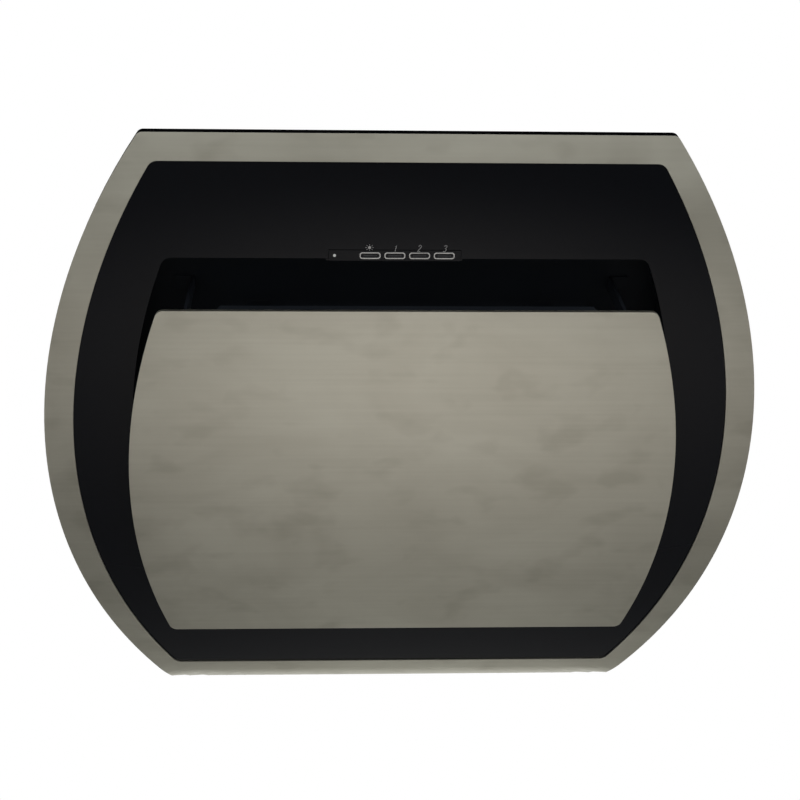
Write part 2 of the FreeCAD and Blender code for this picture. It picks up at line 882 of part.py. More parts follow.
magnet_top = sag(s.catch_drop + s.magnet_diameter / 2, stiffener_back) - s.magnet_gap
posts = Piece("catch_posts")
magnets = Piece("catch_magnets")
posts.add("face", -40, magnet_top - s.magnet_thickness,
          disc(-s.catch_spread, -s.catch_drop, s.catch_diameter / 2),
          disc(s.catch_spread, -s.catch_drop, s.catch_diameter / 2))
posts.cut("side", -reach, reach,
          under(tray_front, -s.catch_drop - 30, -s.catch_drop + 30, sized(-60)))
magnets.add("face", magnet_top - s.magnet_thickness, magnet_top,
            disc(-s.catch_spread, -s.catch_drop, s.magnet_diameter / 2),
            disc(s.catch_spread, -s.catch_drop, s.magnet_diameter / 2))
on_plate(posts.body)
on_plate(magnets.body)

# ---------------------------------------------------------------- grease filter

filter_back = -s.pan_floor + s.filter_seat_gap
filter_front = filter_back + s.filter_thickness
mesh_back = filter_back + s.filter_thickness / 2 - s.mesh_thickness / 2


def filter_box(shrink):
    return box(-filter_half + shrink, filter_half - shrink,
               -s.filter_bottom + shrink, s.filter_top - shrink)


frame_of_filter = Piece("filter_frame")
frame_of_filter.add("face", filter_back, filter_front, filter_box(sized(0)),
                    filter_box(s.filter_rim))
frame_of_filter.add("side", -filter_half, filter_half,
                    disc(-s.filter_bottom + s.filter_bead, filter_front - s.filter_bead / 4,
                         s.filter_bead))
frame_of_filter.cut("face", mesh_back - 0.1, mesh_back + s.mesh_thickness + 0.1,
                    filter_box(s.filter_rim - s.mesh_groove - 0.1))
on_plate(frame_of_filter.body)

mesh = Piece("filter_mesh")
mesh.add("face", mesh_back, mesh_back + s.mesh_thickness,
         filter_box(s.filter_rim - s.mesh_groove))
columns, rows = 20, 14
column_pitch = (filter_half - s.filter_rim) * 2 / columns
row_pitch = (s.filter_top + s.filter_bottom - s.filter_rim * 2) / rows
first_column = -column_pitch * (columns - 1) / 2
first_row = (s.filter_top - s.filter_bottom) / 2 - row_pitch * (rows - 1) / 2
hole = mesh.cut("face", mesh_back - 1, mesh_back + s.mesh_thickness + 1,
                box(first_column - s.mesh_hole / 2, first_column + s.mesh_hole / 2,
                    first_row - s.mesh_hole / 2, first_row + s.mesh_hole / 2))
rows_of_holes = mesh.body.newObject("PartDesign::MultiTransform", "filter_mesh_grid")
rows_of_holes.Originals = [hole]
steps = []
for axis, count, pitch in (("H_Axis", columns, column_pitch), ("V_Axis", rows, row_pitch)):
    step = mesh.body.newObject("PartDesign::LinearPattern", "filter_mesh_" + axis[0])
    step.Direction = (hole.Profile[0], [axis])
    step.Length = (pitch * (count - 1)).number
    tie(step, "Length", pitch * (count - 1))
    step.Occurrences = count
    steps.append(step)
rows_of_holes.Transformations = steps
mesh.body.Tip = rows_of_holes
on_plate(mesh.body)

handle = Piece("filter_handle")
grip_low = s.filter_top - s.filter_rim + 2
grip_high = grip_low + s.handle_bar
grip = s.handle_width / 2
handle.add("face", filter_front, filter_front + s.handle_rise,
           box(-grip, -grip + s.handle_bar, grip_low, grip_high),
           box(grip - s.handle_bar, grip, grip_low, grip_high))
handle.add("face", filter_front + s.handle_rise - s.handle_bar, filter_front + s.handle_rise,
           box(-grip, grip, grip_low, grip_high))
on_plate(handle.body)

ledge = Piece("filter_ledge")
shelf = -s.filter_bottom - 0.2
ledge.add("face", -s.pan_floor, filter_front + s.ledge_room + s.ledge_sheet,
          box(-filter_half, filter_half, shelf - s.ledge_sheet, shelf))
ledge.add("face", filter_front + s.ledge_room, filter_front + s.ledge_room + s.ledge_sheet,
          box(-filter_half, filter_half, shelf - s.ledge_sheet, shelf + s.ledge_lip))
ledge.add("face", -s.pan_floor, -s.pan_floor + s.ledge_sheet,
          box(-filter_half, filter_half, shelf - s.ledge_sheet - 9, shelf))
on_plate(ledge.body)

clips = Piece("filter_clips")
clip_start = filter_half - s.clip_inset
for side in (-1, 1):
    ends = mirrored(side, clip_start, clip_start + s.clip_width)
    clips.add("face", -s.pan_floor, -s.pan_floor + s.clip_height,
              box(*ends, s.filter_top + 0.5, s.filter_top + 0.5 + s.clip_sheet))
    clips.add("face", -s.pan_floor, -s.pan_floor + s.clip_sheet,
              box(*ends, s.filter_top + 0.5, s.filter_top + 12))
on_plate(clips.body)

# ---------------------------------------------------------------- controls

face_of_glass = -s.frame_sheet - s.bond_gap
button_middles = [-s.first_button + s.button_pitch * count for count in range(4)]


def button_box(middle, shrink, corner):
    return box(middle - s.bezel_width / 2 + shrink, middle + s.bezel_width / 2 - shrink,
               -s.bezel_height / 2 + shrink, s.bezel_height / 2 - shrink, corner)


fascia = Piece("control_fascia")
fascia.add("face", -s.control_start, face_of_glass,
           box(-s.fascia_left, s.fascia_right, -s.fascia_height / 2, s.fascia_height / 2))
fascia.cut("face", face_of_glass - s.bezel_depth + s.bezel_rise, 1,
           *[button_box(middle, sized(-0.05), s.bezel_corner) for middle in button_middles])
fascia.cut("face", -s.control_start - 1, 1,
           *[button_box(middle, s.bezel_wall, s.button_corner + s.button_gap)
             for middle in button_middles])
fascia.cut("face", -s.control_start - 1, 1,
           disc(-s.indicator_offset, 0, s.indicator_diameter / 2 + 0.05))
at_controls(fascia.body)

bezels = Piece("button_bezels")
for middle in button_middles:
    bezels.add("face", face_of_glass - s.bezel_depth + s.bezel_rise,
               face_of_glass + s.bezel_rise,
               button_box(middle, sized(0), s.bezel_corner),
               button_box(middle, s.bezel_wall, s.button_corner + s.button_gap))
at_controls(bezels.body)

button_end = face_of_glass - s.button_length
for name, middle in zip(("light", "1", "2", "3"), button_middles):
    cap = Piece("button_" + name)
    cap.add("face", button_end, face_of_glass + s.bezel_rise / 2,
            button_box(middle, s.bezel_wall + s.button_gap, s.button_corner))
    at_controls(cap.body)

box_left, box_right = -s.fascia_left - 2, s.fascia_right + 2
box_rise = s.control_height_out / 2
wall = s.control_wall
board_back = -s.control_end + wall + 1.5
housing = Piece("control_housing")
housing.add("face", -s.control_end, -s.control_start, box(box_left, box_right, -box_rise, box_rise))
housing.cut("face", -s.control_end + wall, 1,
            box(box_left + wall, box_right - wall, -box_rise + wall, box_rise - wall))
housing.add("face", -s.control_end + wall, board_back,
            box(box_left + wall, box_left + wall + 6, -box_rise + wall, box_rise - wall),
            box(box_right - wall - 6, box_right - wall, -box_rise + wall, box_rise - wall))
at_controls(housing.body)

board_front = board_back + s.board_thickness
board = Piece("switch_board")
board.add("face", board_back, board_front,
          box(box_left + wall + 0.3, box_right - wall - 0.3, -box_rise + wall + 0.3,
              box_rise - wall - 0.3))
at_controls(board.body)

switches = Piece("switch_bodies")
switch_top = button_end - s.button_travel - 0.1
for middle in button_middles:
    switches.add("face", board_front, switch_top - 0.6,
                 box(middle - s.switch_width / 2, middle + s.switch_width / 2,
                     -s.switch_width / 2, s.switch_width / 2))
    switches.add("face", switch_top - 0.6, switch_top, disc(middle, 0, s.switch_width / 4))
at_controls(switches.body)

indicator = Piece("indicator_lens")
indicator.add("face", board_front, face_of_glass + 0.2,
              disc(-s.indicator_offset, 0, s.indicator_diameter / 2))
at_controls(indicator.body)

# ---------------------------------------------------------------- casing

casing_half = half - s.casing_inset
sheet_of_case = s.casing_sheet
side_face = casing_half - sheet_of_case             # where the sides meet the other sheets
case_front = tray_back - s.casing_front_gap
centre_back = s.curve_radius * cosine(s.tilt_angle) - s.apex_gap
centre_up = s.curve_radius * sine(s.tilt_angle)


def front_of_case(height):
    """How far from the wall the back of the plate lies at a height; negative is forward."""
    rise = height - centre_up
    return centre_back - root(case_front * case_front - rise * rise)


low_half = half - s.casing_low_inset
low_face = low_half - sheet_of_case
back = Piece("casing_back")
back.add("front", 0, sheet_of_case,
         path([(-low_face, -s.casing_bottom), (low_face, -s.casing_bottom),
               (side_face, -s.casing_knee), (side_face, s.casing_top),
               (-side_face, s.casing_top), (-side_face, -s.casing_knee)]))
back.add("front", 0, s.flange_width,
         box(-side_face, -side_face + sheet_of_case, -s.casing_knee + 10, s.casing_top - 20),
         box(side_face - sheet_of_case, side_face, -s.casing_knee + 10, s.casing_top - 20),
         box(-s.low_flange_width / 2, s.low_flange_width / 2,
             -s.casing_bottom + sheet_of_case, -s.casing_bottom + 2 * sheet_of_case))
back.cut("front", -1, sheet_of_case + 1,
         *[disc(s.wall_hole_spread / 2 * x, s.wall_hole_rise / 2 * z, s.wall_hole_diameter / 2)
           for x in (-1, 1) for z in (-1, 1)])
put(back.body, sized(0), 0, 0, 0)


def casing_side(label, side):
    """A side sheet that leans in below its knee; its front follows the curved plate's back."""
    chin = -s.casing_chin
    part = Piece(label)
    outline = [(side_face, s.casing_top), (side_face, -s.casing_knee),
               (low_face, -s.casing_bottom), (low_half, -s.casing_bottom),
               (casing_half, -s.casing_knee), (casing_half, s.casing_top)]
    part.add("front", 0, s.apex_gap + half,
             path([(x * side, z) for x, z in (outline if side == 1 else outline[::-1])]))
    part.cut("side", *mirrored(side, low_face - 5, casing_half + 5),
             box(-half * 2, half, -half, half),
             path([(0, -s.casing_bottom), (0, s.casing_top),
                   (front_of_case(s.casing_top), s.casing_top),
                   (front_of_case(chin), chin),
                   (-s.bottom_depth, -s.casing_bottom)],
                  {2: (case_front, 1)}))
    put(part.body, sized(0), 0, 0, 0)
    return part


sides = {-1: casing_side("casing_side_left", -1), 1: casing_side("casing_side_right", 1)}

top = Piece("casing_top")
top_front = front_of_case(s.casing_top - sheet_of_case)
top.add("face", s.casing_top - sheet_of_case, s.casing_top,
        box(-side_face, side_face, top_front + 1, -sheet_of_case))
top.add("face", s.casing_top - s.flange_width, s.casing_top,
        box(-side_face, -side_face + sheet_of_case, top_front + 20, -20),
        box(side_face - sheet_of_case, side_face, top_front + 20, -20))
top.cut("face", s.casing_top - 5, s.casing_top + 2,
        disc(0, -s.duct_back, s.duct_diameter / 2 - s.duct_wall))
top.cut("face", s.casing_top - 5, s.casing_top + 2,
        disc(s.gland_side, -s.gland_back, s.gland_hole / 2))
put(top.body, sized(0), 0, 0, 0)

lamp_middles = (-s.lamp_spread, s.lamp_spread)
bottom = Piece("casing_bottom")
bottom.add("face", -s.casing_bottom, -s.casing_bottom + sheet_of_case,
           box(-low_face, low_face, -s.bottom_depth, -sheet_of_case))
bottom.cut("face", -s.casing_bottom - 1, -s.casing_bottom + 5,
           *[disc(x, -s.lamp_back, s.lamp_diameter / 2) for x in lamp_middles])
put(bottom.body, sized(0), 0, 0, 0)

screws = Piece("casing_screws")
places = [(-s.flange_width / 2 - 1, 120), (-s.flange_width / 2 - 1, -120),
          (-150, s.casing_top - s.flange_width / 2)]
screw_hole = s.screw_diameter / 2 + s.screw_gap
for side in (-1, 1):
    holes = mirrored(side, side_face - 5, casing_half + 5)
    sides[side].cut("side", *holes, *[disc(y, z, screw_hole) for y, z in places])
    back.cut("side", *holes, *[disc(y, z, screw_hole) for y, z in places[:2]])
    top.cut("side", *holes, disc(*places[2], screw_hole))
    shank = mirrored(side, casing_half - s.screw_length, casing_half + 0.5)
    head = mirrored(side, casing_half, casing_half + s.screw_head_height)
    screws.add("side", *shank, *[disc(y, z, s.screw_diameter / 2) for y, z in places])
    screws.add("side", *head, *[disc(y, z, s.screw_head / 2) for y, z in places])
under_places = [(x, -s.flange_width / 2 - 1) for x in (-50, 50)]
for part in (back, bottom):
    part.cut("face", -s.casing_bottom - 1, -s.casing_bottom + 5,
             *[disc(x, y, screw_hole) for x, y in under_places])
screws.add("face", -s.casing_bottom - s.screw_head_height, -s.casing_bottom,
           *[disc(x, y, s.screw_head / 2) for x, y in under_places])
screws.add("face", -s.casing_bottom - 0.5, -s.casing_bottom + s.screw_length,
           *[disc(x, y, s.screw_diameter / 2) for x, y in under_places])
put(screws.body, sized(0), 0, 0, 0)

# ---------------------------------------------------------------- duct outlet and damper

bore = s.duct_diameter / 2 - s.duct_wall
collar = Piece("duct_collar")
collar.add("face", s.duct_wall, s.duct_height, disc(0, 0, s.duct_diameter / 2),
           disc(0, 0, bore))
stop_top = s.axle_height - s.flap_thickness / 2 - 0.3
collar.add("face", stop_top - s.stop_thickness, stop_top, disc(0, 0, bore + 0.5),
           disc(0, 0, bore - s.stop_width))
notch = s.axle_diameter / 2 + 0.3
collar.cut("face", stop_top - s.stop_thickness - 1, stop_top + 1,
           box(-bore + 0.2, bore - 0.2, -notch, notch))
at_duct(collar.body)

flange = Piece("duct_flange")
flange.add("face", 0, s.duct_wall, disc(0, 0, s.duct_diameter / 2 + s.duct_flange),
           disc(0, 0, bore))
at_duct(flange.body)

axle = Piece("damper_axle")
axle.add("side", -bore + 0.3, bore - 0.3, disc(0, s.axle_height, s.axle_diameter / 2))
at_duct(axle.body)

knuckle_bore = s.axle_diameter / 2 + s.knuckle_clearance
knuckle_out = knuckle_bore + s.knuckle_wall
flap_radius = bore - s.flap_gap


def damper_flap(label, sign, knuckles):
    """Half of the damper: a half disc with knuckles that turn on the axle."""
    flap = Piece(label)
    across = root(flap_radius * flap_radius - s.flap_root * s.flap_root)
    low = s.axle_height - s.flap_thickness / 2
    high = s.axle_height + s.flap_thickness / 2
    rim = s.flap_root * sign
    flap.add("face", low, high,
             path([(-across, rim), (across, rim), (0, flap_radius * sign)],
                  {1: (flap_radius, sign), 2: (flap_radius, sign)}))
    for start, end in knuckles:
        flap.add("side", start, end, disc(0, s.axle_height, knuckle_out))
        inner, outer = sized(0), (s.flap_root + 1) * sign
        flap.add("face", low, high,
                 box(start, end, inner if sign > 0 else outer, outer if sign > 0 else inner))
    for start, end in knuckles:
        flap.cut("side", start - 0.2, end + 0.2, disc(0, s.axle_height, knuckle_bore))
    at_duct(flap.body)


long = s.knuckle_length
damper_flap("damper_flap_back", 1, [(-long / 2, long / 2)])
damper_flap("damper_flap_front", -1, [
    (-long - long / 2, -long / 2 - s.knuckle_gap),
    (long / 2 + s.knuckle_gap, long + long / 2),
])

# ---------------------------------------------------------------- blower


def scroll_shape(shrink, height):
    """The blower housing seen from the side: round the wheel, open at the top."""
    radius = s.scroll_radius - shrink
    away = s.scroll_radius * cosine(s.tongue_angle) - shrink
    upward = root(radius * radius - away * away)
    return path([(-radius, height), (-radius, 0), (0, -radius), (radius, 0),
                 (away, upward), (away, height)],
                {1: (radius, 1), 2: (radius, 1), 3: (radius, 1)})


blower_half = s.blower_width / 2
scroll_top = s.casing_top - sheet_of_case - s.scroll_end_gap - s.blower_rise
scroll = Piece("blower_scroll")
scroll.add("side", -blower_half, blower_half, scroll_shape(sized(0), scroll_top))
scroll.cut("side", -blower_half + s.scroll_sheet, blower_half - s.scroll_sheet,
           scroll_shape(s.scroll_sheet, scroll_top + 5))
scroll.cut("side", -blower_half - 1, blower_half + 1, disc(0, 0, s.inlet_diameter / 2))
at_blower(scroll.body)

inlet = Piece("inlet_ring")
inlet.add("side", blower_half, blower_half + s.inlet_ring_sheet,
          disc(0, 0, s.inlet_diameter / 2 + s.inlet_ring), disc(0, 0, s.inlet_diameter / 2))
at_blower(inlet.body)

wheel_half = s.wheel_width / 2
wheel_radius = s.wheel_diameter / 2
inner_radius = wheel_radius - s.blade_depth
shaft_radius = s.shaft_diameter / 2
wheel = Piece("impeller_wheel")
wheel.add("side", -wheel_half, -wheel_half + s.wheel_ring, disc(0, 0, wheel_radius),
          disc(0, 0, inner_radius))
wheel.add("side", wheel_half - s.wheel_ring, wheel_half, disc(0, 0, wheel_radius),
          disc(0, 0, inner_radius))
wheel.add("side", -s.web_thickness / 2, s.web_thickness / 2, disc(0, 0, wheel_radius))
wheel.add("side", -s.hub_length / 2 + 2, s.hub_length / 2 + 2, disc(0, 0, s.hub_diameter / 2))
wheel.cut("side", -s.hub_length, s.hub_length, disc(0, 0, shaft_radius + s.shaft_clearance))
blade = wheel.add("side", -wheel_half + 1, wheel_half - 1,
                  box(inner_radius + 0.5, wheel_radius - 0.5,
                      -s.blade_thickness / 2, s.blade_thickness / 2))
wheel.around(blade, s.blade_count)
at_blower(wheel.body)

shaft = Piece("motor_shaft")
hub_end = s.hub_length / 2 + 2
shaft.add("side", -s.motor_end - s.shaft_inside + 1, hub_end + s.nut_height + 2,
          disc(0, 0, shaft_radius))
at_blower(shaft.body)


def hexagon(width):
    """Six equal sides, with two of them level."""
    corner = width / 1.7320508
    return path([(corner, 0), (corner / 2, width / 2), (-corner / 2, width / 2),
                 (-corner, 0), (-corner / 2, -width / 2), (corner / 2, -width / 2)])


nut = Piece("impeller_nut")
nut.add("side", hub_end, hub_end + s.nut_height, hexagon(s.nut_width),
        disc(0, 0, shaft_radius + s.shaft_clearance))
at_blower(nut.body)

motor = Piece("motor_body")
motor.add("side", -s.motor_start, -s.motor_end - 8, disc(0, 0, s.motor_diameter / 2))
motor.add("side", -s.motor_end - 8, -s.motor_end, disc(0, 0, s.motor_diameter / 2 - 12))
motor.cut("side", -s.motor_end - s.shaft_inside, 0, disc(0, 0, shaft_radius + s.shaft_clearance))
at_blower(motor.body)

arm_half = s.arm_length / 2
arms = Piece("motor_bracket")
arms.add("side", -s.motor_start - s.arm_sheet, -s.motor_start,
         box(-arm_half, arm_half, -s.arm_width / 2, s.arm_width / 2))
arms.add("side", -s.motor_start - s.arm_sheet, -s.motor_start,
         box(-s.arm_width / 2, s.arm_width / 2, -arm_half, arm_half))
at_blower(arms.body)

grommet_at = arm_half - s.grommet_diameter / 2 + 0.5
grommets = Piece("motor_grommets")
grommets.add("side", -s.motor_start, -blower_half,
             *[disc(grommet_at * y, grommet_at * z, s.grommet_diameter / 2)
               for y, z in ((0, 1), (0, -1), (1, 0), (-1, 0))])
at_blower(grommets.body)

# ---------------------------------------------------------------- lamps and electrics

lamp_shell = Piece("lamp_housings")
lamp_lens = Piece("lamp_lenses")
lamp_board = Piece("lamp_boards")
lamp_floor = -s.casing_bottom + sheet_of_case
lamp_radius = s.lamp_diameter / 2
for x in lamp_middles:
    outside = disc(x, -s.lamp_back, lamp_radius + s.lamp_wall)
    lamp_shell.add("face", lamp_floor, lamp_floor + s.lamp_depth, outside)
for x in lamp_middles:
    lamp_shell.cut("face", lamp_floor - 1, lamp_floor + s.lamp_depth - s.lamp_wall,
                   disc(x, -s.lamp_back, lamp_radius))
    lamp_lens.add("face", -s.casing_bottom - 0.3, -s.casing_bottom + s.lens_thickness + 1,
                  disc(x, -s.lamp_back, lamp_radius - s.lens_gap))
    lamp_board.add("face", lamp_floor + s.lamp_depth - s.lamp_wall - s.board_thickness,
                   lamp_floor + s.lamp_depth - s.lamp_wall,
                   disc(x, -s.lamp_back, lamp_radius - 0.3))
for part in (lamp_shell, lamp_lens, lamp_board):
    put(part.body, sized(0), 0, 0, 0)

left, right = s.module_side, s.module_side + s.module_width
low, high = s.module_low, s.module_low + s.module_height
near, far = sheet_of_case, sheet_of_case + s.module_depth
module_wall = s.module_wall
module = Piece("module_box")
module.add("front", near, far - module_wall, box(left, right, low, high))
module.cut("front", near + module_wall, far + 1,
           box(left + module_wall, right - module_wall, low + module_wall, high - module_wall))
pillars = [disc(x, z, s.standoff_diameter / 2)
           for x in (left + 8, right - 8) for z in (low + 8, high - 8)]
module.add("front", near + module_wall, near + module_wall + 5, *pillars)
put(module.body, sized(0), 0, 0, 0)

cover = Piece("module_cover")
cover.add("front", far - module_wall, far, box(left, right, low, high))
put(cover.body, sized(0), 0, 0, 0)

main_board = Piece("module_board")
main_board.add("front", near + module_wall + 5, near + module_wall + 5 + s.board_thickness,
               box(left + 3, right - 3, low + 3, high - 3))
put(main_board.body, sized(0), 0, 0, 0)

capacitor = Piece("capacitor")
capacitor.add("face", s.module_low, s.module_low + s.capacitor_length,
              disc(-s.module_side - 60, -sheet_of_case - s.capacitor_diameter / 2 - 4,
                   s.capacitor_diameter / 2))
capacitor.add("front", sheet_of_case, sheet_of_case + 5,
              box(-s.module_side - 72, -s.module_side - 48, s.module_low + 15,
                  s.module_low + 40))
put(capacitor.body, sized(0), 0, 0, 0)

gland = Piece("cable_gland")
gland.add("face", 0, s.gland_height, disc(0, 0, s.gland_diameter / 2))
gland.add("face", -sheet_of_case - 6, 1, disc(0, 0, s.gland_hole / 2 - 0.1))
gland.add("face", -sheet_of_case - 6, -sheet_of_case, disc(0, 0, s.gland_diameter / 2))
gland.cut("face", -20, s.gland_height + 1, disc(0, 0, s.gland_bore / 2))
put(gland.body, sized(0), s.gland_side, -s.gland_back, s.casing_top)

# ---------------------------------------------------------------- export

doc.recompute()
for thing in doc.Objects:
    wrong = [word for word in thing.State if word in ("Invalid", "Error")]
    if wrong:
        raise RuntimeError("%s is %s" % (thing.Label, wrong))
os.makedirs("parts", exist_ok=True)
for thing in finished:
    if thing.Shape.isNull() or not thing.Shape.isValid():
        raise RuntimeError("%s has no valid shape" % thing.Label)
for thing in finished:
    thing.Shape.exportStep("parts/%s.step" % thing.Label)
    size = thing.Shape.BoundBox
    print("%-22s %2d solids  %6.1f x %6.1f x %6.1f" % (
        thing.Label, len(thing.Shape.Solids), size.XLength, size.YLength, size.ZLength))
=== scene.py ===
# %% [markdown]
# # A 60 cm inclined range hood
# The hood hangs on a wall and leans over the cook. Its front is a bowed plate: brushed
# stainless steel round a sheet of black glass, with a smaller steel panel standing in front
# of the suction opening. The engineering model gives the solids and how they move, and this
# lesson dresses them.
#
# The model is loaded first. It comes as one object for each solid, in metres, with z up and
# the wall behind the hood at y = 0.

# %% Load the engineering model
import json
import math

import bmesh
import bpy
from mathutils import Euler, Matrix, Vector
from mathutils.geometry import delaunay_2d_cdt


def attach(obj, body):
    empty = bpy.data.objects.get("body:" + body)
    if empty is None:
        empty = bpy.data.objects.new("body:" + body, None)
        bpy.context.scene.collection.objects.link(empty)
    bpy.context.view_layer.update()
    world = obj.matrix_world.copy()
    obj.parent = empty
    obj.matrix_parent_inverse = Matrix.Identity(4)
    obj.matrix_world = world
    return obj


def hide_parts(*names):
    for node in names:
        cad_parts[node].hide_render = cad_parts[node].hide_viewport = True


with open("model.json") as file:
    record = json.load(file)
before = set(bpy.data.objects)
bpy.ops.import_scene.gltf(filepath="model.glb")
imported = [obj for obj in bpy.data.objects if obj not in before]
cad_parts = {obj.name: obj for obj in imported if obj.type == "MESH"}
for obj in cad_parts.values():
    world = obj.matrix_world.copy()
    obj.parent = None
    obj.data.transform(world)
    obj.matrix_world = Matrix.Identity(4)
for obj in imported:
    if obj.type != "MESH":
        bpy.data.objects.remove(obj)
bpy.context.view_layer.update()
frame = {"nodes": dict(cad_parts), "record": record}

nodes = frame["nodes"]

# %% [markdown]
# ## The bowed plate
# Every piece of the front is drawn flat, in millimetres across and up the plate, and then
# laid on a cylinder whose axis runs left to right. One function does that, so steel, glass
# and panel all follow the same bow. The plate leans forward by the tilt angle, and its apex
# stands off the wall.

# %% Axes of the plate
MM = 0.001
TILT = math.radians(31.6)
BOW = 1294.0                     # radius of the steel's outer face
APEX_GAP = 225.0                 # from the wall to the apex
ACROSS = Vector((1, 0, 0))
UP_PLATE = Vector((0, -math.sin(TILT), math.cos(TILT)))
OUT = Vector((0, -math.cos(TILT), -math.sin(TILT)))
APEX = Vector((0, -APEX_GAP, 0))


def at(x, up, out):
    """A point in the plate's axes, in millimetres, as a place in the scene."""
    return (APEX + ACROSS * x + UP_PLATE * up + OUT * out) * MM


def bow(up, radius):
    """How far out a surface of this radius lies, at a height on the plate."""
    return math.sqrt(radius**2 - up**2) - BOW


print("apex at", [round(value, 4) for value in at(0, 0, 0)])

# %% [markdown]
# ## Outlines
# The frame, the window, the suction opening and the panel share one kind of outline: level
# top and bottom, and sides that are arcs. It is drawn as a ring of points, dense enough for
# the arcs to look round, with rounded corners where the real sheet has them.

# %% A barrel-shaped outline
def arc(centre, radius, start, end, steps):
    """Points along an arc, from one angle to another, without the last one."""
    angles = [start + (end - start) * step / steps for step in range(steps)]
    return [(centre[0] + radius * math.cos(a), centre[1] + radius * math.sin(a)) for a in angles]


def side_at(up, half, radius, centre):
    """How far from the middle the side lies, at a height on the plate."""
    return half - radius + math.sqrt(radius**2 - (up - centre) ** 2)


def barrel(half, radius, centre, top, bottom, high_corner, low_corner, steps=56):
    """Anticlockwise from the lower right. Corner radii of 0 leave the corner sharp."""
    middle = half - radius

    def fillet(edge, corner, sign):
        inner = edge - corner * sign
        across = math.sqrt((radius - corner) ** 2 - (inner - centre) ** 2)
        return (middle + across, inner), math.atan2(inner - centre, across)

    high, high_angle = fillet(top, high_corner, 1)
    low, low_angle = fillet(-bottom, low_corner, -1)
    right = []
    if low_corner:
        right += arc(low, low_corner, -math.pi / 2, low_angle, 8)
    right += arc((middle, centre), radius, low_angle, high_angle, steps)
    if high_corner:
        right += arc(high, high_corner, high_angle, math.pi / 2, 8)
    right.append((high[0], top))
    if not low_corner:
        right[0] = (side_at(-bottom, half, radius, centre), -bottom)
    if low_corner:
        right[0] = (low[0], -bottom)
    left = [(-x, y) for x, y in reversed(right)]
    return right + left


FRAME = dict(half=299.0, radius=476.0, centre=2.8, top=287.4)
WINDOW = dict(half=275.2, radius=478.7, centre=2.8, top=266.5, bottom=240.9)
OPENING = dict(half=225.0, radius=443.0, centre=20.0, top=191.8, bottom=120.0)
PANEL = dict(half=224.8, radius=476.5, centre=-5.8, top=167.0, bottom=152.5)
window = barrel(**WINDOW, high_corner=9, low_corner=9)
opening = barrel(**OPENING, high_corner=9, low_corner=9)
panel = barrel(**PANEL, high_corner=7, low_corner=7)
print("points in an outline:", len(window), len(opening), len(panel))

# %% [markdown]
# ## From outline to sheet
# A flat region with holes is filled with triangles by a constrained Delaunay triangulation.
# Rows of extra points keep the triangles small along the bow, so that reflections run over
# it without facets. A modelling tool such as Grid Fill could fill a plain ring, but it can't
# follow a notch or a round hole.

# %% Fill a region and lay it on the bow
def inside(point, ring):
    """Whether a point lies in a ring of points, by counting crossings."""
    x, y = point
    odd = False
    for (x0, y0), (x1, y1) in zip(ring, ring[1:] + ring[:1]):
        if (y0 > y) != (y1 > y) and x < (x1 - x0) * (y - y0) / (y1 - y0) + x0:
            odd = not odd
    return odd


def near(point, rings, distance):
    """Whether a point lies this close to a corner of any of the rings."""
    return any((point[0] - x) ** 2 + (point[1] - y) ** 2 < distance**2 for r in rings for x, y in r)


def fill(outer, holes=(), across=30.0, up=9.0, low=-1000.0, more=()):
    """Triangles that fill a ring of points less its holes, with rows of points between.

    The rows stay above the height low, and more gives extra points.
    """
    rings = [outer, *holes]
    points, edges = [], []
    for ring in rings:
        first = len(points)
        points += ring
        edges += [(first + i, first + (i + 1) % len(ring)) for i in range(len(ring))]
    xs, ys = [p[0] for p in outer], [p[1] for p in outer]
    columns = int((max(xs) - min(xs)) / across)
    rows = int((max(ys) - min(ys)) / up)
    for row in range(1, rows):
        for column in range(1, columns):
            point = (min(xs) + (max(xs) - min(xs)) * column / columns,
                     min(ys) + (max(ys) - min(ys)) * row / rows)
            if point[1] > low and inside(point, outer) and not near(point, rings, 3.0):
                if not any(inside(point, hole) for hole in holes):
                    points.append(point)
    points += more
    made = delaunay_2d_cdt([Vector(p) for p in points], edges, [], 0, 1e-6)
    flat = [tuple(v) for v in made[0]]
    triangles = []
    for face in made[2]:
        middle = tuple(sum(flat[i][axis] for i in face) / len(face) for axis in (0, 1))
        if inside(middle, outer) and not any(inside(middle, hole) for hole in holes):
            triangles.append(face)
    return flat, triangles


def mesh_piece(name, places, faces, body):
    """A mesh object from places in metres, riding on a body."""
    mesh = bpy.data.meshes.new(name)
    mesh.from_pydata(places, [], faces)
    mesh.validate()
    made = bmesh.new()
    made.from_mesh(mesh)
    bmesh.ops.recalc_face_normals(made, faces=made.faces)
    loose = [v for v in made.verts if not v.link_faces]
    bmesh.ops.delete(made, geom=loose, context="VERTS")
    made.to_mesh(mesh)
    made.free()
    mesh.shade_smooth()
    piece = bpy.data.objects.new(name, mesh)
    bpy.context.scene.collection.objects.link(piece)
    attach(piece, body)
    return piece


def face_out(piece, direction=OUT):
    """Turns an open sheet's normals to the given side."""
    mesh = piece.data
    facing = sum(polygon.normal.dot(direction) * polygon.area for polygon in mesh.polygons)
    if facing < 0:
        mesh.flip_normals()


def thicken(piece, thickness):
    """Gives an open sheet its thickness, behind the face that was drawn."""
    sheet = piece.modifiers.new("Sheet", "SOLIDIFY")
    sheet.thickness = thickness * MM
    sheet.offset = -1.0


def even_out(piece):
    """Lets the large faces set the normals, so that roundings don't shade the flats."""
    even = piece.modifiers.new("Even normals", "WEIGHTED_NORMAL")
    even.keep_sharp = True
    even.weight = 80


def soften(piece, width, segments=3, angle=30.0):
    """Rounds every edge sharper than the angle, then evens the normals out."""
    edge = piece.modifiers.new("Edges", "BEVEL")
    edge.width = width * MM
    edge.segments = segments
    edge.limit_method = "ANGLE"
    edge.angle_limit = math.radians(angle)
    edge.use_clamp_overlap = True
    even_out(piece)


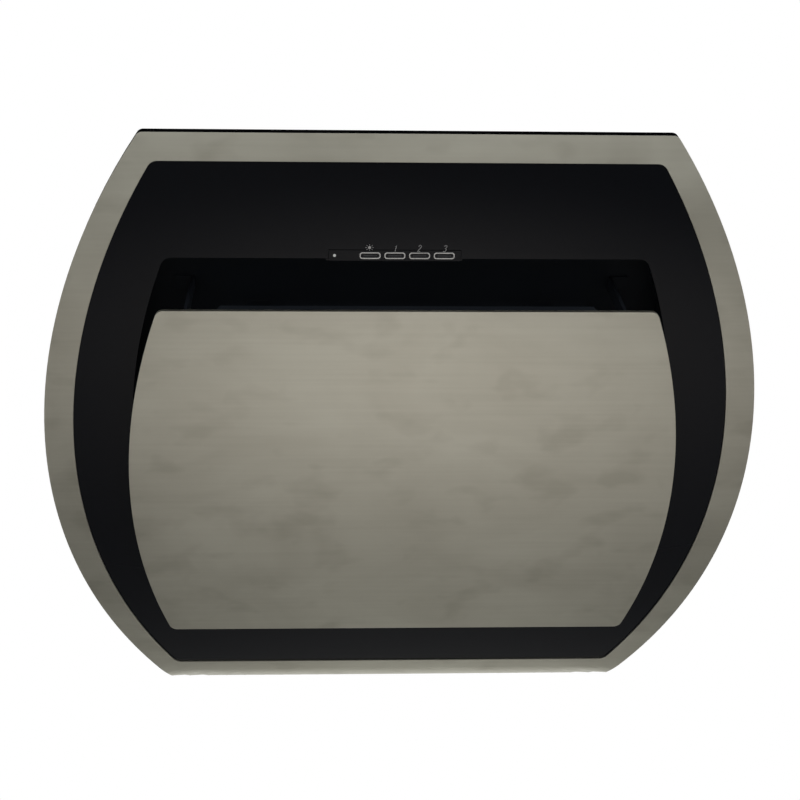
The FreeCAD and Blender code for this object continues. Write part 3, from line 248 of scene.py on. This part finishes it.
# %% [markdown]
# ## Colours and nodes
# Colours are picked as sRGB hex values, and turned to the linear values that the renderer
# works with. One small function adds a node, sets it and links it, so that each material
# reads as a list of what it does.

# %% Hex colours and one helper for nodes
def linear(text):
    """An sRGB hex colour as linear red, green, blue and alpha."""
    parts = [int(text[i:i + 2], 16) / 255 for i in (1, 3, 5)]
    light = [c / 12.92 if c <= 0.04045 else ((c + 0.055) / 1.055) ** 2.4 for c in parts]
    return (*light, 1.0)


def add(tree, kind, settings=None, links=None):
    """Adds a node: settings are its properties or sockets, links are sockets to feed."""
    node = tree.nodes.new(kind)
    for name, value in (settings or {}).items():
        if isinstance(name, str) and hasattr(node, name):
            setattr(node, name, value)
        else:
            node.inputs[name].default_value = value
    for name, source in (links or {}).items():
        tree.links.new(source, node.inputs[name])
    return node


def start(name, **settings):
    """A new material with its shader: returns the material, its nodes and the shader."""
    material = bpy.data.materials.new(name)
    material.use_nodes = True
    tree = material.node_tree
    tree.nodes.clear()
    shader = add(tree, "ShaderNodeBsdfPrincipled",
                 {key.replace("_", " "): value for key, value in settings.items()})
    add(tree, "ShaderNodeOutputMaterial", links={"Surface": shader.outputs[0]})
    return material, tree, shader


def place(tree, scale):
    """Where a point of the object is, times a scale for each axis."""
    where = add(tree, "ShaderNodeTexCoord")
    moved = add(tree, "ShaderNodeMapping", {"Scale": scale}, {"Vector": where.outputs["Object"]})
    return moved.outputs[0]


def wear(tree, source, low, high):
    """A number from 0 to 1 spread between two others."""
    spread = add(tree, "ShaderNodeMapRange", {"To Min": low, "To Max": high}, {"Value": source})
    return spread.outputs[0]


def noise(tree, scale, stretch=(1.0, 1.0, 1.0), **more):
    """A cloudy pattern from 0 to 1 that stays fixed to the object."""
    pattern = add(tree, "ShaderNodeTexNoise", {"Scale": scale, **more},
                  {"Vector": place(tree, stretch)})
    return pattern.outputs["Fac"]


def between(tree, shade, colour, amount):
    """A colour that runs from the shade to the colour as the amount goes from 0 to 1."""
    tint = add(tree, "ShaderNodeMix", {"data_type": "RGBA"}, {"Factor": amount})
    tint.inputs["A"].default_value = linear(shade)
    tint.inputs["B"].default_value = linear(colour)
    return tint.outputs["Result"]


print("white paint is", [round(c, 3) for c in linear("#E8E6E1")])

# %% [markdown]
# ## Brushed stainless steel
# The frame and the panel are satin stainless steel, ground with a belt that ran from side
# to side. The grit leaves scratches a few hundredths of a millimetre wide and several
# centimetres long: too fine to show at this distance, so they are drawn about 0.6 mm wide.
# They blur reflections up and down more than sideways. Cleaning leaves faint cloudy marks,
# a few centimetres across, that dull the steel here and there.

# %% Satin stainless steel
ALONG = (0.6, 1.0, 1.0)          # clouds and smudges are a little longer across the hood


def satin_steel(name, colour, shade):
    """Steel with fine scratches from side to side, broader streaks, clouds and smudges."""
    material, tree, shader = start(name, Metallic=1.0)
    scratches = noise(tree, 1.0, (12.0, 1600.0, 1600.0), Detail=3.0, Roughness=0.6)
    streaks = noise(tree, 1.0, (7.0, 330.0, 330.0), Detail=2.0)
    clouds = noise(tree, 14.0, ALONG, Detail=3.0, Roughness=0.55, Distortion=0.6)
    marks = noise(tree, 40.0, ALONG, Detail=2.0, Distortion=0.2)
    smudge = add(tree, "ShaderNodeMapRange", {"From Min": 0.54, "From Max": 0.72, "To Max": 0.55},
                 {"Value": marks})
    cloudy = add(tree, "ShaderNodeMapRange", {"From Min": 0.3, "From Max": 0.72, "To Max": 0.75},
                 {"Value": clouds})
    cleaner = add(tree, "ShaderNodeMath", {"operation": "SUBTRACT"},
                  {0: cloudy.outputs[0], 1: smudge.outputs[0]})
    lighter = add(tree, "ShaderNodeMath", {"operation": "ADD", "use_clamp": True},
                  {0: cleaner.outputs[0], 1: wear(tree, streaks, 0.0, 0.5)})
    gloss = add(tree, "ShaderNodeMath", {"operation": "ADD"},
                {0: wear(tree, scratches, -0.05, 0.05), 1: wear(tree, clouds, 0.30, 0.42)})
    relief = add(tree, "ShaderNodeBump", {"Strength": 0.05, "Distance": 0.0002},
                 {"Height": scratches})
    tree.links.new(between(tree, shade, colour, lighter.outputs[0]), shader.inputs["Base Color"])
    tree.links.new(gloss.outputs[0], shader.inputs["Roughness"])
    tree.links.new(relief.outputs[0], shader.inputs["Normal"])
    return material


steel = satin_steel("satin_stainless_steel", "#C2C1B4", "#B0AEA1")
print("steel:", steel.name)

# %% [markdown]
# ## Black-backed glass
# The plate is tempered float glass with a black enamel fired on its back. The eye sees deep
# black and a clear mirror image on top. Modelling the glass as clear with a black back would
# need light to pass through it; a polished black dielectric looks the same from outside and
# renders cleanly.

# %% Polished black glass
def black_glass(name):
    """A polished black surface, with faint smears that change only its gloss."""
    material, tree, shader = start(name, **{"Base Color": linear("#10131A"), "IOR": 1.28})
    smears = noise(tree, 9.0, (0.7, 1.0, 1.0), Detail=4.0, Roughness=0.6)
    tree.links.new(wear(tree, smears, 0.03, 0.12), shader.inputs["Roughness"])
    return material


glass = black_glass("black_enamelled_glass")
polished = black_glass("polished_black_abs")
print("glass:", glass.name)

# %% [markdown]
# ## Painted, moulded and plated pieces
# The rest is common stuff: powder-coated steel sheet with a fine orange peel, a dead matt
# primer on the tray, galvanised steel with its faint spangle, moulded ABS with a
# spark-eroded grain, chrome on plastic, mill-finish aluminium, rubber, circuit board under
# its green mask and turned brass.

# %% Powder coat, zinc, plastic and the others
def grained(name, colour, shade, roughness, metallic=0.0, size=1.0, relief=0.05, **more):
    """A finish with a fine grain of that size in millimetres, and a slight change of tone."""
    material, tree, shader = start(name, Metallic=metallic, **more)
    grain = noise(tree, 1000.0 / size, Detail=2.0)
    clouds = noise(tree, 25.0, Detail=3.0)
    bump = add(tree, "ShaderNodeBump", {"Strength": relief, "Distance": 0.0003},
               {"Height": grain})
    tree.links.new(between(tree, shade, colour, clouds), shader.inputs["Base Color"])
    tree.links.new(wear(tree, clouds, roughness - 0.04, roughness + 0.04),
                   shader.inputs["Roughness"])
    tree.links.new(bump.outputs[0], shader.inputs["Normal"])
    return material


powder = grained("black_powder_coat", "#22272E", "#1D2127", 0.55, size=0.8, relief=0.12, IOR=1.3)
primer = grained("matt_black_primer", "#17181A", "#121315", 0.9, size=0.5, relief=0.05,
                 Specular_IOR_Level=0.0)
zinc = grained("galvanised_steel", "#C3C6C6", "#A9ADAE", 0.42, metallic=1.0, size=6.0, relief=0.04)
plated = grained("bright_zinc_plate", "#D2D1CA", "#BDBDB8", 0.25, metallic=1.0, relief=0.02)
moulded = grained("black_moulded_abs", "#121315", "#0D0E10", 0.45, size=0.5, relief=0.1)
chrome = grained("satin_chrome_on_abs", "#B9BAB9", "#A9AAA9", 0.25, metallic=1.0, relief=0.01)
white = grained("white_moulded_pbt", "#D9D8D2", "#CFCEC8", 0.45, size=0.5, relief=0.08)
board = grained("green_solder_mask", "#1E5A33", "#174A29", 0.3, size=1.5, relief=0.05)
rubber = grained("black_rubber", "#17181A", "#101113", 0.7, size=0.6, relief=0.1)
aluminium = grained("mill_aluminium", "#D0D1D2", "#B9BBBD", 0.35, metallic=1.0, relief=0.05)
brass = grained("turned_brass", "#C9A35A", "#B28C46", 0.3, metallic=1.0, relief=0.03)
frosted = grained("frosted_lamp_lens", "#E9E8E2", "#DEDDD7", 0.5, size=0.5, relief=0.05)
print("finishes:", len(bpy.data.materials))

# %% [markdown]
# The small indicator is a clear lens with a light behind it. It glows only faintly, and the
# tiny ridges inside it make its gloss uneven.

# %% A lens lit from behind
lit, lit_nodes, lit_shader = start("lit_clear_lens", Roughness=0.2, **{
    "Base Color": linear("#A9ABA9"), "Emission Color": linear("#F4F8F4"),
    "Emission Strength": 0.3})
spots = add(lit_nodes, "ShaderNodeTexNoise", {"Scale": 900.0})
lit_nodes.links.new(wear(lit_nodes, spots.outputs["Fac"], 0.15, 0.3), lit_shader.inputs["Roughness"])
print("lens:", lit.name)

# %% [markdown]
# ## Dressing the solids
# The solids of the engineering model stay where their shape is right. Each gets its finish,
# and a small rounding on its edges: no real edge is perfectly sharp, and the rounding is
# what catches the light. Small and thin pieces get less of it.

# %% Give every solid its finish
ROUNDING, FINE_ROUNDING = 0.3, 0.12
SLOTS = {
    "brushed_steel": steel, "black_glass": glass, "black_steel": powder,
    "bright_steel": plated, "zinc_steel": zinc, "black_plastic": moulded,
    "gloss_black_plastic": polished, "matt_black_steel": primer, "white_plastic": white,
    "chromed_plastic": chrome, "lit_lens": lit, "frosted_lens": frosted, "circuit_board": board,
    "magnet": chrome, "rubber": rubber, "aluminium": aluminium, "brass": brass,
}
THIN = {"indicator_lens", "button_bezels", "filter_mesh", "impeller_wheel", "switch_bodies",
         "damper_flap_back", "damper_flap_front", "control_fascia"}
slot_of = {entry["node"]: entry["material_slot"] for entry in frame["record"]["subparts"]}
for name, node in nodes.items():
    finish = SLOTS[slot_of[name]]
    node.data.materials.clear()
    node.data.materials.append(finish)
    joined = node.modifiers.new("Join", "WELD")
    joined.merge_threshold = 0.00001
    soften(node, FINE_ROUNDING if name in THIN else ROUNDING, 2)
print("dressed:", len(nodes))

# %% [markdown]
# ## The steel frame
# One sheet of steel, 1.2 mm thick, is cut to the barrel outline with the window punched out.
# Its bottom edge rolls under towards the wall. The sheet is filled flat, as the blank would
# be before it is rolled, and each point is then laid on the bow, or round the lip once it is
# past the line where the lip starts.

# %% Blank of the frame, and the roll of its lip
FRAME_SHEET = 1.2
LIP_START = 250.2                # below the apex, along the plate
LIP_RADIUS, LIP_BEND = 60.0, math.radians(27.0)
FOLD_RADIUS, FOLD_END = 3.0, math.radians(63.4)
FLANGE = 12.0                    # the flat strip past the fold, towards the wall
lean = math.asin(LIP_START / BOW)
lip_centre = (-(BOW - LIP_RADIUS) * math.sin(lean), (BOW - LIP_RADIUS) * math.cos(lean) - BOW)
fold_centre = (lip_centre[0] - (LIP_RADIUS - FOLD_RADIUS) * math.sin(LIP_BEND),
               lip_centre[1] + (LIP_RADIUS - FOLD_RADIUS) * math.cos(LIP_BEND))
lip_length = LIP_RADIUS * (LIP_BEND - lean)
fold_length = FOLD_RADIUS * (FOLD_END - LIP_BEND)
below = lip_length + fold_length + FLANGE


def on_lip(down):
    """Height and stand-off of a point that lies this far past the start of the lip."""
    if down <= lip_length:
        turn, centre, radius = lean + down / LIP_RADIUS, lip_centre, LIP_RADIUS
    else:
        turn = min(LIP_BEND + (down - lip_length) / FOLD_RADIUS, FOLD_END)
        centre, radius = fold_centre, FOLD_RADIUS
    straight = max(down - lip_length - fold_length, 0)
    return (centre[0] - radius * math.sin(turn) - straight * math.cos(turn),
            centre[1] + radius * math.cos(turn) - straight * math.sin(turn))


LIP_COLUMNS = 12
stops = [lip_length * step / 8 for step in range(1, 9)]
stops += [lip_length + fold_length * step / 5 for step in range(1, 6)]
stops += [lip_length + fold_length + FLANGE * step / 2 for step in (1, 2)]
edge_of = {key: FRAME[key] for key in ("half", "radius", "centre")}
lip_side = [(side_at(on_lip(down)[0], **edge_of), -LIP_START - down) for down in stops[::-1]]
above = barrel(**FRAME, bottom=LIP_START, high_corner=6, low_corner=0)
right = [point for point in above if point[0] > 0]
blank = lip_side + right + [(-x, y) for x, y in reversed(lip_side + right)]
inner = [part / LIP_COLUMNS for part in range(1 - LIP_COLUMNS, LIP_COLUMNS)]
lip_points = [(x * share, y) for x, y in lip_side[1:] for share in inner]
flat, triangles = fill(blank, [window], across=26, up=7, low=-LIP_START, more=lip_points)


def rolled(x, y):
    """Where a point of the flat blank ends up, on the bow or round the lip."""
    if y >= -LIP_START:
        return at(x, y, bow(y, BOW))
    up, out = on_lip(-LIP_START - y)
    return at(x, up, out)


steel_frame = mesh_piece("steel_frame", [rolled(x, y) for x, y in flat], triangles, "hood")
face_out(steel_frame)
thicken(steel_frame, FRAME_SHEET)
soften(steel_frame, 0.3, 3, 45)
steel_frame.data.materials.append(steel)
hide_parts("front_frame")
print("frame triangles:", len(triangles))

# %% [markdown]
# ## The black glass
# The glass lies behind the steel, a little larger than the window. It is water-cut: a large
# suction opening, a shallow notch above it for the controls, and two round holes for the
# catches. Its ground edges are narrow bevels.

# %% Glass with its opening, notch and holes
GLASS_SHEET, GLASS_GAP = 4.0, 0.2
GLASS_FRONT = BOW - FRAME_SHEET - GLASS_GAP
CONTROL_UP = 194.4               # from the apex to the middle of the buttons
NOTCH_LEFT, NOTCH_RIGHT, NOTCH_TOP = -61.75, 42.55, CONTROL_UP + 4.45
CATCH_ACROSS, CATCH_UP, CATCH_HOLE = 110.0, -136.0, 9.5

TOP = OPENING["top"]
along_top = opening.index(next(point for point in opening if point[1] == TOP)) + 1
notch = [(NOTCH_RIGHT, TOP), (NOTCH_RIGHT, NOTCH_TOP), (NOTCH_LEFT, NOTCH_TOP), (NOTCH_LEFT, TOP)]
opening_cut = opening[:along_top] + notch + opening[along_top:]
catch_holes = [arc((x, CATCH_UP), CATCH_HOLE, 2 * math.pi, 0, 32)
               for x in (-CATCH_ACROSS, CATCH_ACROSS)]
glass_edge = barrel(half=279.2, radius=482.7, centre=2.8, top=270.5, bottom=246.0,
                    high_corner=13, low_corner=13)
flat, triangles = fill(glass_edge, [opening_cut, *catch_holes], across=26, up=8)
glass_plate = mesh_piece("glass_plate", [at(x, y, bow(y, GLASS_FRONT)) for x, y in flat],
                         triangles, "hood")
face_out(glass_plate)
thicken(glass_plate, GLASS_SHEET)
soften(glass_plate, 0.15, 2, 45)
glass_plate.data.materials.append(glass)
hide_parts("glass_panel")
print("glass triangles:", len(triangles))

# %% [markdown]
# ## The suction panel
# The panel is a steel sheet with a short edge turned back all round. The bend has a radius of
# about a millimetre, and it draws the bright line that runs round the panel. The outline's
# rim is pulled back to make the turned edge, the bend is bevelled, and the sheet is thickened
# inwards last.

# %% Panel skin with its turned edge
PANEL_FRONT = BOW + 37.4
PANEL_SHEET, PANEL_RETURN, PANEL_BEND = 0.8, 3.2, 0.9
flat, triangles = fill(panel, across=24, up=8)
places = [at(x, y, bow(y, PANEL_FRONT)) for x, y in flat]
rim = {}
for index, (x, y) in enumerate(flat):
    if near((x, y), [panel], 0.01):
        rim[index] = len(places)
        places.append(at(x, y, bow(y, PANEL_FRONT) - PANEL_RETURN))
faces_on = {}
for face in triangles:
    for a, b in zip(face, face[1:] + face[:1]):
        edge = (min(a, b), max(a, b))
        faces_on[edge] = faces_on.get(edge, 0) + 1
turned = [(a, b, rim[b], rim[a]) for (a, b), used in faces_on.items() if used == 1]
panel_skin = mesh_piece("panel_sheet", places, list(triangles) + turned, "suction_panel")
face_out(panel_skin)
bend = panel_skin.modifiers.new("Bend", "BEVEL")
bend.width = PANEL_BEND * MM
bend.segments = 4
bend.limit_method = "ANGLE"
bend.angle_limit = math.radians(60)
thicken(panel_skin, PANEL_SHEET)
even_out(panel_skin)
panel_skin.data.materials.append(steel)
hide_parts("panel_skin")
print("panel triangles:", len(triangles), "rim:", len(turned))

# %% [markdown]
# ## The signs
# A lamp symbol and the numbers 1, 2 and 3 stand over the buttons, pad-printed in pale grey
# in slim slanted strokes about half a millimetre wide. Each button has a short dim grey bar
# across its middle. Each stroke is drawn as a line of points and widened to a flat ribbon,
# laid just proud of the surface that it lies on.

# %% Ribbons on the control face
CONTROL_LEAN = TILT - math.asin(CONTROL_UP / BOW)
FACE_UP = Vector((0, -math.sin(CONTROL_LEAN), math.cos(CONTROL_LEAN)))
FACE_OUT = Vector((0, -math.cos(CONTROL_LEAN), -math.sin(CONTROL_LEAN)))
CONTROL_MIDDLE = at(0, CONTROL_UP, bow(CONTROL_UP, BOW))


def on_controls(x, up, out):
    """A point in the control face's axes, in millimetres, as a place in the scene."""
    return CONTROL_MIDDLE + (ACROSS * x + FACE_UP * up + FACE_OUT * out) * MM


def ribbon(points, width):
    """A flat strip along a line of points: corner places on the face, and its faces."""
    sides, faces = [], []
    for index, (x, y) in enumerate(points):
        before, after = points[max(index - 1, 0)], points[min(index + 1, len(points) - 1)]
        along = Vector((after[0] - before[0], after[1] - before[1])).normalized()
        off = Vector((-along.y, along.x)) * width / 2
        sides += [(x + off.x, y + off.y), (x - off.x, y - off.y)]
    for index in range(len(points) - 1):
        first = index * 2
        faces.append((first, first + 1, first + 3, first + 2))
    return sides, faces


def printed(name, strokes, out, body, finish, width):
    """Strokes as one thin mesh on the control face."""
    places, faces = [], []
    for points in strokes:
        sides, made = ribbon(points, width)
        faces += [tuple(i + len(places) for i in face) for face in made]
        places += [on_controls(x, y, out) for x, y in sides]
    piece = mesh_piece(name, places, faces, body)
    face_out(piece, FACE_OUT)
    piece.data.materials.append(finish)
    return piece


print("controls lean", round(math.degrees(CONTROL_LEAN), 2))

# %% [markdown]
# The lamp symbol is a disc with eight rays, a little wider than high. The numbers are drawn
# in a box of unit height, then slanted, scaled and set over their buttons.

# %% Lamp symbol, numbers and bars
ink = grained("pale_grey_print", "#C4C5C6", "#B8B9BA", 0.5, size=0.4, relief=0.02)
bright_ink = grained("white_print", "#F2F2F0", "#EAEAE8", 0.5, size=0.4, relief=0.02)
# A dim grey for the short bar across the middle of each button.
bar_grey = grained("dim_grey_bar", "#55565A", "#4C4D50", 0.5, size=0.4, relief=0.02)
PITCH = 19.4
MIDDLES = [-29.0 + PITCH * count for count in range(4)]
FEET, HEIGHT, SLANT = 3.3, 5.2, 0.22
ON_FASCIA, ON_BUTTON = -1.37, -1.23      # how far out of the steel's face the signs and the bars lie
BAR = 5.2                                # half of a bar's length


def slanted(x, points):
    """Points of a sign of unit height, slanted and set over a button."""
    return [(x + (px + SLANT * py) * HEIGHT, FEET + py * HEIGHT) for px, py in points]


SUN, SUN_STRETCH = (MIDDLES[0] - 0.5, 6.5), 1.3
RAY_START, RAY_END, DISC = 1.6, 2.6, 0.6
rays = []
for ray in range(8):
    turn = ray * math.pi / 4
    rays.append([(SUN[0] + SUN_STRETCH * r * math.cos(turn), SUN[1] + r * math.sin(turn))
                 for r in (RAY_START, RAY_END)])
disc = arc(SUN, DISC, 0, 2 * math.pi, 20)
one = slanted(MIDDLES[1], [(-0.14, 0.78), (0.02, 0.98), (0.0, 0.0)])
two = slanted(MIDDLES[2] - 0.7, [
    (-0.2, 0.76), (-0.14, 0.93), (0.02, 1.0), (0.17, 0.93), (0.2, 0.76),
    (0.12, 0.56), (-0.08, 0.3), (-0.22, 0.02), (0.2, 0.02)])
three = slanted(MIDDLES[3], [
    (-0.2, 0.85), (-0.05, 0.99), (0.12, 0.97), (0.2, 0.8), (0.12, 0.6), (-0.04, 0.54),
    (0.14, 0.47), (0.2, 0.27), (0.1, 0.06), (-0.08, 0.0), (-0.24, 0.12)])
printed("printed_lamp_rays", rays, ON_FASCIA, "hood", ink, 0.4)
printed("printed_lamp_middle", [disc + disc[:2]], ON_FASCIA + 0.01, "hood", bright_ink, 2 * DISC)
printed("printed_numbers", [one, two, three], ON_FASCIA, "hood", ink, 0.6)
# A short dim grey bar lies across the middle of each button.
for label, x in zip(("light", "1", "2", "3"), MIDDLES):
    printed("button_bar_" + label, [[(x - BAR, 0), (x + BAR, 0)]], ON_BUTTON,
            "button_" + label, bar_grey, 0.6)
print("signs at", [round(x, 1) for x in MIDDLES])

# %% [markdown]
# ## Studio
# The photograph is cut out on white, so the world shows as white to the camera and in
# reflections, and a pale floor lies well below the hood, as a worktop would. The steel leans
# forward, so it mirrors that floor: a soft lamp overhead lights the middle of it, one to the
# left the front of it and one behind the part that the rolled lower edge mirrors. A weak
# fill stands on the right.

# %% World, floor and lamps
world = bpy.data.worlds.new("studio")
bpy.context.scene.world = world
world.use_nodes = True
sky = world.node_tree
sky.nodes.clear()
seen = add(sky, "ShaderNodeLightPath")
clear = add(sky, "ShaderNodeMath", {"operation": "MAXIMUM"},
            {0: seen.outputs["Is Camera Ray"], 1: seen.outputs["Is Glossy Ray"]})
clear = add(sky, "ShaderNodeMath", {"operation": "MAXIMUM"},
            {0: clear.outputs[0], 1: seen.outputs["Is Transmission Ray"]})
SKY_LIGHT = 0.2                  # of the world, on what isn't seen or mirrored directly
soft = add(sky, "ShaderNodeBackground", {"Color": linear("#F4F5F7"), "Strength": SKY_LIGHT})
bright = add(sky, "ShaderNodeBackground", {"Color": (1, 1, 1, 1), "Strength": 1.0})
both = add(sky, "ShaderNodeMixShader", links={0: clear.outputs[0], 1: soft.outputs[0],
                                             2: bright.outputs[0]})
add(sky, "ShaderNodeOutputWorld", links={"Surface": both.outputs[0]})

# The floor, in metres. Its back edge lies a little behind the wall's plane.
FLOOR, FLOOR_SIDE, FLOOR_FRONT, FLOOR_BACK = -0.9, 2.6, -3.6, 0.32
floor_colour = grained("pale_floor", "#D8D7D3", "#D2D1CD", 0.8, size=4.0, relief=0.02)
floor = bpy.data.meshes.new("floor")
corners = [(-FLOOR_SIDE, FLOOR_FRONT), (FLOOR_SIDE, FLOOR_FRONT),
           (FLOOR_SIDE, FLOOR_BACK), (-FLOOR_SIDE, FLOOR_BACK)]
floor.from_pydata([(x, y, FLOOR) for x, y in corners], [], [(0, 1, 2, 3)])
floor.materials.append(floor_colour)
ground = bpy.data.objects.new("floor", floor)
bpy.context.scene.collection.objects.link(ground)


def lamp(name, place_at, aim, size, power, beam=180, colour=(1, 1, 1)):
    """A square soft lamp that faces a point: metres, watts, and the beam's full angle."""
    light = bpy.data.lights.new(name, "AREA")
    light.size = size
    light.energy = power
    light.spread = math.radians(beam)
    light.color = colour
    made = bpy.data.objects.new(name, light)
    made.location = place_at
    made.rotation_euler = (Vector(aim) - Vector(place_at)).to_track_quat("-Z", "Y").to_euler()
    made.visible_camera = False
    bpy.context.scene.collection.objects.link(made)


lamp("overhead", (0.12, -1.25, 0.9), (0.12, -1.24, FLOOR), 0.5, 4.9, 60, (1.0, 0.95, 0.96))
lamp("front_left", (-0.9, -2.7, 1.2), (-0.7, -2.7, FLOOR), 1.2, 1.2, 80)
lamp("fill_right", (1.6, -1.8, 1.2), (0, -0.2, 0), 1.4, 0.8)
lamp("behind", (0.08, 0.75, 0.3), (0.06, 0.42, FLOOR), 0.5, 2.2, 60)

# %% [markdown]
# ## Camera
# The picture was taken from straight in front, a little to the left of the middle, about
# a metre from the apex and level.

# %% Camera
camera = bpy.data.cameras.new("camera")
camera.sensor_width = 36.0
camera.lens = 54.75
camera.shift_x = 0.0389
viewer = bpy.data.objects.new("camera", camera)
viewer.location = (-0.0629, -1.2657, 0.0607)
viewer.rotation_euler = Euler((math.radians(90), 0, math.radians(-1.979)))
bpy.context.scene.collection.objects.link(viewer)
bpy.context.scene.camera = viewer
bpy.context.scene.view_settings.view_transform = "Standard"
print("camera at", tuple(viewer.location))

# %% [markdown]
# At the end the scene is brought up to date.

# %% Bring the scene up to date
bpy.context.view_layer.update()
